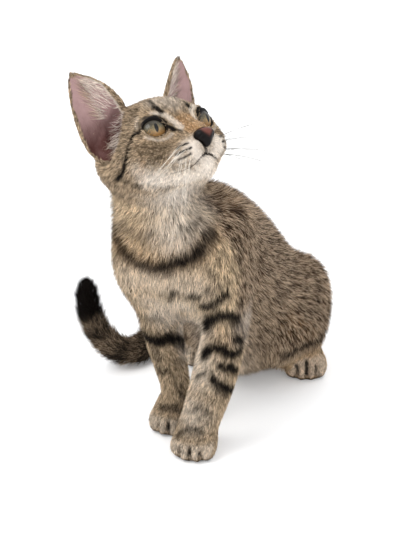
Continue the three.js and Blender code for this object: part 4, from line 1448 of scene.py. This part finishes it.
# %% The look of the coat
# Each hair and each lock has a brightness of its own, and some are tipped pale or dark where the coat is
# grizzled. Each tuft darkens towards its root: partly the hair's own dark base, partly painted shade deep in
# the coat.
PALE_TIP = linear("#dcc3a6")
DARK_TIP = linear("#1a120d")

coat_look = Look("coat", Roughness=0.6, Specular_IOR_Level=0.06)
along, hair_number, tip_number = coat_look.parts(coat_look.attribute("hair"))
lock_number = coat_look.attribute("hair", "Alpha")
of_this_hair = hair_number * 0.6 + 0.12 + lock_number * 1.2
# Darker towards the root: partly the hair's own dark base, partly painted shade deep in the coat.
hair_tone_and_root_shade = (along.ramp(0.0, 0.6) * 0.5 + 0.5) * of_this_hair
coat_colour, white_mark, dark_mark, ground = fur_colour(coat_look, hair_tone_and_root_shade)
grizzled = (1 - white_mark) * (1 - dark_mark * dark_mark) * (1 - ground * 0.6)
tip_kind = tip_number * 0.55 + lock_number * 0.45
pale_tip = tip_kind.ramp(0.51, 0.61) * along.ramp(0.25, 0.6) * grizzled * 0.9
dark_tip = (1 - tip_kind).ramp(0.47, 0.57) * along.ramp(0.25, 0.6) * grizzled * 0.95
coat_colour = coat_look.mix(coat_colour, PALE_TIP, pale_tip)
coat_colour = coat_look.mix(coat_colour, DARK_TIP, dark_tip)
coat_look.feed("Base Color", coat_colour)

# %% The coat, region by region
face_spots = in_head(skin_spots)[coat.faces].mean(1)
left_half = face_spots[:, 0] > 0
# Piece: its slot, the nodes whose skin it grows on, and which of their faces.
REGIONS = {
    "coat_head_left": ("coat_front", ["head"], left_half),
    "coat_head_right": ("coat_front", ["head"], ~left_half),
    "coat_ears": ("ear_skin", ["ear_left", "ear_right"], True),
    "coat_neck": ("coat_front", ["neck", "shoulder_left", "shoulder_right"], True),
    "coat_chest": ("coat_front", ["thorax"], True),
    "coat_back": ("coat_back", ["abdomen", "rump"], True),
    "coat_thighs": ("coat_back", ["thigh_left", "thigh_right"], True),
    "coat_foreleg_left": ("coat_front", ["foreleg_left", "forepaw_left"], True),
    "coat_foreleg_right": ("coat_front", ["foreleg_right", "forepaw_right"], True),
    "coat_hindfeet": ("coat_front", ["hindfoot_left", "hindfoot_right"], True),
    "coat_tail": ("coat_tail", ["tail_base", "tail_middle", "tail_end"], True),
    "coat_tail_tip": ("coat_black", ["tail_tip"], True),
}
for seed, (name, (slot, nodes, only)) in enumerate(REGIONS.items(), start=1):
    grow(name, coat_look, seed, nodes, only)

# %% [markdown]
# ## Eyes
#
# A kitten's eye is a ball with a clear bulging front. Seen from outside, the iris fills nearly all of the
# opening between the lids, and in bright light the pupil is an upright slit. The ball here is turned so
# that its pole is the middle of the pupil, and each corner remembers where it lies from that pole, which is
# all that the iris needs. A clear shell over a flat iris would look deeper, but a coat of gloss is safe in
# any viewer.

# %% The frame of each eye
EYE_OUTWARD = math.radians(16)
BALL = EYE_RADIUS * HEAD_SIZE - 0.2


def eye_frame(side):
    """Middle of the eye, the way to its outer corner, up and outward."""
    sign = SIDES[side]
    middle = on_head(EYE_AT.x * sign, EYE_AT.y, EYE_AT.z)
    outer = head_way(math.cos(EYE_OUTWARD) * sign, math.sin(EYE_OUTWARD), 0)
    ahead = head_way(math.sin(EYE_OUTWARD) * sign, -math.cos(EYE_OUTWARD), 0)
    return middle, outer, head_way(0, 0, 1), ahead


# %% Eyeballs
CORNEA_WIDE = 0.80
CORNEA_HIGH = 0.10
AROUND_EYE, ALONG_EYE = 64, 40

eye_look = Look("iris", Roughness=0.5, Specular_IOR_Level=0.1, Coat_Weight=0.45, Coat_Roughness=0.02)
across_eye, up_eye, _ = eye_look.parts(eye_look.attribute("gaze"))
across_eye, up_eye = across_eye * 2 - 1, up_eye * 2 - 1
from_pupil = (across_eye * across_eye + up_eye * up_eye) ** 0.5
drawn_out = {0: across_eye * 9, 1: up_eye * 9, 2: from_pupil * 2}
fibres = eye_look.noise(1.6, 4.0, eye_look.node("ShaderNodeCombineXYZ", values=drawn_out)).ramp(0.32, 0.7)
# Amber below and grey-green above: partly the iris's own colours, partly painted light for light through the
# cornea falling on the lower iris.
iris = eye_look.mix(linear("#99703f"), linear("#6f6b58"), (up_eye + fibres * 0.3).ramp(-0.3, 0.3))
iris = eye_look.mix(iris, linear("#3c3728"), fibres * 0.55)
iris = eye_look.mix(iris, linear("#a48f63"), (0.42 - from_pupil).ramp(0.0, 0.3) * 0.4)
iris = eye_look.mix(iris, linear("#191410"), from_pupil.ramp(0.70, 0.80))
# Painted shadow of the upper lid over the top of the iris.
iris = eye_look.mix(iris, linear("#221c15"), (up_eye + fibres * 0.15).ramp(-0.2, 0.5) * 0.9)
slit = ((across_eye * 8.0) ** 2 + (up_eye * 3.4) ** 2) ** 0.5
iris = eye_look.mix(linear("#040404"), iris, slit.ramp(0.85, 1.1))
eye_look.feed("Base Color", iris)

for side in SIDES:
    middle, outer, up, ahead = eye_frame(side)
    bm = bmesh.new()
    bmesh.ops.create_uvsphere(bm, u_segments=AROUND_EYE, v_segments=ALONG_EYE, radius=1)
    local = np.array([corner.co for corner in bm.verts])
    in_cornea = np.clip(1 - (local[:, :2] ** 2).sum(1) / CORNEA_WIDE**2, 0, 1) * (local[:, 2] > 0)
    for corner, swell in zip(bm.verts, 1 + CORNEA_HIGH * in_cornea):
        x, y, z = corner.co * (swell * BALL * MM)
        corner.co = middle + outer * x + up * y + ahead * z
    bmesh.ops.recalc_face_normals(bm, faces=bm.faces)
    mesh = mesh_from(bm, "eyeball")
    keep_fields(mesh, "gaze", *((local.astype(float) + 1) / 2).T)
    eyeball = piece(f"eyeball_{side}", mesh, eye_look)
    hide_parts(f"eye_{side}")
    print(eyeball.name, len(mesh.polygons))


# %% [markdown]
# ## Lids, lips and whiskers as tubes
#
# The black rim of the lids, the lips and the whiskers are all round and long. A curve with a round bevel
# and its own radius at each point makes them, and is turned into a mesh, since curves don't leave Blender.


# %% Tubes along lines
def tubes(name, lines, look, closed=False, sides=2):
    """A mesh of round tubes, each along its own line of (place, radius)."""
    curve = bpy.data.curves.new(name, "CURVE")
    curve.dimensions = "3D"
    curve.bevel_depth = 1.0
    curve.bevel_resolution = sides
    curve.use_fill_caps = True
    for line in lines:
        spline = curve.splines.new("POLY")
        spline.points.add(len(line) - 1)
        spline.use_cyclic_u = closed
        for point, (place, radius) in zip(spline.points, line):
            point.co = (*place, 1)
            point.radius = radius
    holder = add_object(name, curve)
    mesh = mesh_now(holder)
    bpy.data.objects.remove(holder)
    bm = bmesh.new()
    bm.from_mesh(mesh)
    bmesh.ops.remove_doubles(bm, verts=bm.verts, dist=SAME_PLACE)
    bmesh.ops.recalc_face_normals(bm, faces=bm.faces)
    finished = mesh_from(bm, name)
    piece(name, finished, look)
    print(name, len(lines), "lines", len(finished.polygons), "faces")


def bezier(a, b, c, d, t):
    """The place at t, from 0 to 1, on a flat curve with four handles."""
    s = 1 - t
    return [a[i] * s**3 + 3 * b[i] * t * s**2 + 3 * c[i] * t * t * s + d[i] * t**3 for i in (0, 1)]


# %% Rims of the lids
# The opening between the lids in mm, as an arc with four handles above and one below.
SLIT_WIDE, SLIT_HIGH, SLIT_SLANT = 17.0, 11.6, math.radians(17)
INNER_CORNER, OUTER_CORNER = (-SLIT_WIDE / 2, -0.6), (SLIT_WIDE / 2, 0.4)
ABOVE = ((-SLIT_WIDE * 0.28, SLIT_HIGH * 0.62), (SLIT_WIDE * 0.28, SLIT_HIGH * 0.72))
BELOW = ((SLIT_WIDE * 0.3, -SLIT_HIGH * 0.66), (-SLIT_WIDE * 0.25, -SLIT_HIGH * 0.62))
RIM_STEPS = 24
RIM_UPPER, RIM_LOWER, RIM_CORNER = 1.55, 0.65, 0.95
RIM_OUT = 0.4

rim_look = Look("black rim of the lids", Base_Color=linear("#070404"), Roughness=0.5, Specular_IOR_Level=0.08)
rims = []
for side in SIDES:
    middle, outer, up, ahead = eye_frame(side)
    upper = (INNER_CORNER, *ABOVE, OUTER_CORNER)
    lower = (OUTER_CORNER, *BELOW, INNER_CORNER)
    rim = []
    for arc, thick in ((upper, RIM_UPPER), (lower, RIM_LOWER)):
        for t in np.arange(0, 1, 1 / RIM_STEPS):
            x, y = (c * HEAD_SIZE for c in turned(*bezier(*arc, t), SLIT_SLANT))
            radius = RIM_CORNER + (thick - RIM_CORNER) * math.sin(math.pi * t)
            z = math.sqrt((BALL + RIM_OUT) ** 2 - x * x - y * y)
            rim.append((middle + (outer * x + up * y + ahead * z) * MM, radius * MM))
    rims.append(rim)
tubes("lid_rims", rims, rim_look, closed=True, sides=3)

# %% [markdown]
# ## Nose and lips
#
# The nose is bare leather, brick red above and nearly black round the nostrils. Its solid is smoothed by
# subdivision. The lips are a thin dark line that runs down from the nose and out to both sides.

# %% Nose leather
NOSE_FATTEN = 0.15 * MM
nose_look = Look("nose leather", Roughness=0.38, Specular_IOR_Level=0.12)
red_above, _, _ = nose_look.parts(nose_look.attribute("marks"))
cells = {"Vector": nose_look.object_places(), "Scale": 1700.0}
pebbles = nose_look.node("ShaderNodeTexVoronoi", values=cells)
nose_colour = nose_look.mix(linear("#080404"), linear("#643a32"), red_above)
nose_look.feed("Base Color", nose_look.mix(nose_colour, linear("#0c0807"), pebbles.ramp(0.5, 0.9) * 0.35))
nose_look.feed("Normal", nose_look.bump(pebbles, 0.00012, 0.5))

bm = merged_copy("nose", NOSE_FATTEN)
bmesh.ops.triangulate(bm, faces=bm.faces)
for _ in range(2):
    bmesh.ops.smooth_vert(bm, verts=bm.verts, factor=0.3, use_axis_x=True, use_axis_y=True, use_axis_z=True)
bmesh.ops.subdivide_edges(bm, edges=bm.edges, cuts=1, use_grid_fill=True, smooth=0.6)
bmesh.ops.recalc_face_normals(bm, faces=bm.faces)
nose_mesh = mesh_from(bm, "nose")
nose_spots = in_head(read_rows(nose_mesh.vertices, "co", 3))
nose_side = np.abs(nose_spots[:, 0])
top_of_nose = step_up(nose_spots[:, 2] + 8.8 - 0.8 * nose_side, 0, 3.0) * (1 - step_up(nose_side, 2.4, 4.8))
keep_fields(nose_mesh, "marks", top_of_nose)
nose = piece("nose_leather", nose_mesh, nose_look)
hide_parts("nose")
print("nose", len(nose_mesh.polygons), nose_spots.min(0).round(1), nose_spots.max(0).round(1))

# %% Lips
LIP_RADIUS = 0.26
LIP_SUNK = 0.1
LIP_STEP = 0.25
lip_look = Look("lips", Base_Color=linear("#1a0f0c"), Roughness=0.55, Specular_IOR_Level=0.1)


def on_skin(line):
    """Places along a line in the head's frame, laid on the pressed outline of the coat."""
    points = [on_head(*spot) for spot in line]
    spots = []
    for t in np.arange(0, len(points) - 1 + LIP_STEP / 2, LIP_STEP):
        place, out, _, _ = outer_tree.find_nearest(place_at(points, t))
        spots.append(place - out * LIP_SUNK * MM)
    return spots


def tapered(spots, radius, thin=0.2):
    """Places with a radius that falls to a share of it at the far end."""
    last = len(spots) - 1
    return [(spot, radius * MM * (1 - (1 - thin) * (i / last) ** 1.5)) for i, spot in enumerate(spots)]


lip_lines = []
for sign in SIDES.values():
    spots = on_skin([(x * sign, y, z) for x, y, z in LIPS])
    lip_lines.append(tapered(spots, LIP_RADIUS))
lip_lines.append([(spot, LIP_RADIUS * MM) for spot in on_skin(BELOW_NOSE)])
tubes("lips", lip_lines, lip_look)

# %% [markdown]
# ## Whiskers
#
# Whiskers stand in four rows on each side of the muzzle, with a few over the eyes. Each is a stiff hair
# that droops a little and tapers to a fine end. On the left they stand out to the side; on the right the
# upper two rows sweep back over the cheek and the lower two hang down.

# %% Whiskers and brow hairs
# Lengths are in mm and ways in the head's frame. A row is how high and how far forward its first root stands.
WHISKER_ROWS = [(-8.6, -41.5), (-11.4, -41.5), (-14.4, -40.5), (-17.4, -39.0)]
LEFT_IN_ROW, RIGHT_IN_ROW = 4, 3
FIRST_ROOT, ROOTS_APART, ROOTS_BACK = 12, 1.9, 1.5
WHISKER_RADIUS = 0.12
WHISKER_STEPS = 11
JITTER = 0.08
LEFT_LONG, LEFT_DROOP = 56, 0.22
# The way and the length of those on the right.
SWEPT_BACK = ((-0.75, 0.4, -0.42), 35)
HANGING = ((-0.4, 0.2, -0.85), 33)
RIGHT_DROOP, RIGHT_THIN, RIGHT_JITTER = 0.12, 0.78, 1.6
BROW_HAIRS, BROW_HAIR_RADIUS = 5, 0.06

# The whiskers on both sides are the same pale hairs: the grey of those on the left, away from the key lamp,
# is painted shade.
whisker_looks = {
    "left": Look("whiskers with painted shade", Base_Color=linear("#59544d"), Roughness=0.4),
    "right": Look("whiskers in the light", Base_Color=linear("#f0e9dd"), Roughness=0.4),
}
rng = np.random.default_rng(77)


def whisker(root, way, long, droop):
    """Places from the root along a bent line."""
    place, out, _, _ = outer_tree.find_nearest(on_head(*root))
    ahead = head_way(*way)
    down = Vector((0, 0, -1))
    steps = [i / WHISKER_STEPS for i in range(WHISKER_STEPS + 1)]
    return [place - out * 0.5 * MM + (ahead * t + down * droop * t * t) * long * MM for t in steps]


whisker_lines = {"left": [], "right": []}
for row, (z, y) in enumerate(WHISKER_ROWS):
    for column in range(LEFT_IN_ROW):
        x, back = FIRST_ROOT + ROOTS_APART * column, y + ROOTS_BACK * column
        from_longest = abs(column - 1)
        jitter = rng.uniform(-JITTER, JITTER, 3)
        way = (1.0, 0.16 * column - 0.5 + jitter[1], 0.22 - 0.2 * row + jitter[2])
        line = whisker((x, back, z), way, LEFT_LONG - 9 * from_longest - 4 * row, LEFT_DROOP)
        whisker_lines["left"].append(tapered(line, WHISKER_RADIUS, 0.4))
        if column < RIGHT_IN_ROW:
            way, long = SWEPT_BACK if row < 2 else HANGING
            way = Vector(way) + Vector(jitter) * RIGHT_JITTER
            line = whisker((-x, back, z), way, long - 5 * from_longest, RIGHT_DROOP)
            whisker_lines["right"].append(tapered(line, WHISKER_RADIUS * RIGHT_THIN, 0.2))

# The brow hairs of both sides get the grey of painted shade too.
for sign in SIDES.values():
    for index in range(BROW_HAIRS):
        way = (sign * (0.1 + 0.16 * index), -0.55, 0.8)
        line = whisker((sign * (11 + 1.6 * index), -24 + 0.5 * index, 19), way, 17 + 2 * index, -0.05)
        whisker_lines["left"].append(tapered(line, BROW_HAIR_RADIUS, 0.15))
for side, lines in whisker_lines.items():
    tubes(f"whiskers_{side}", lines, whisker_looks[side], sides=1)
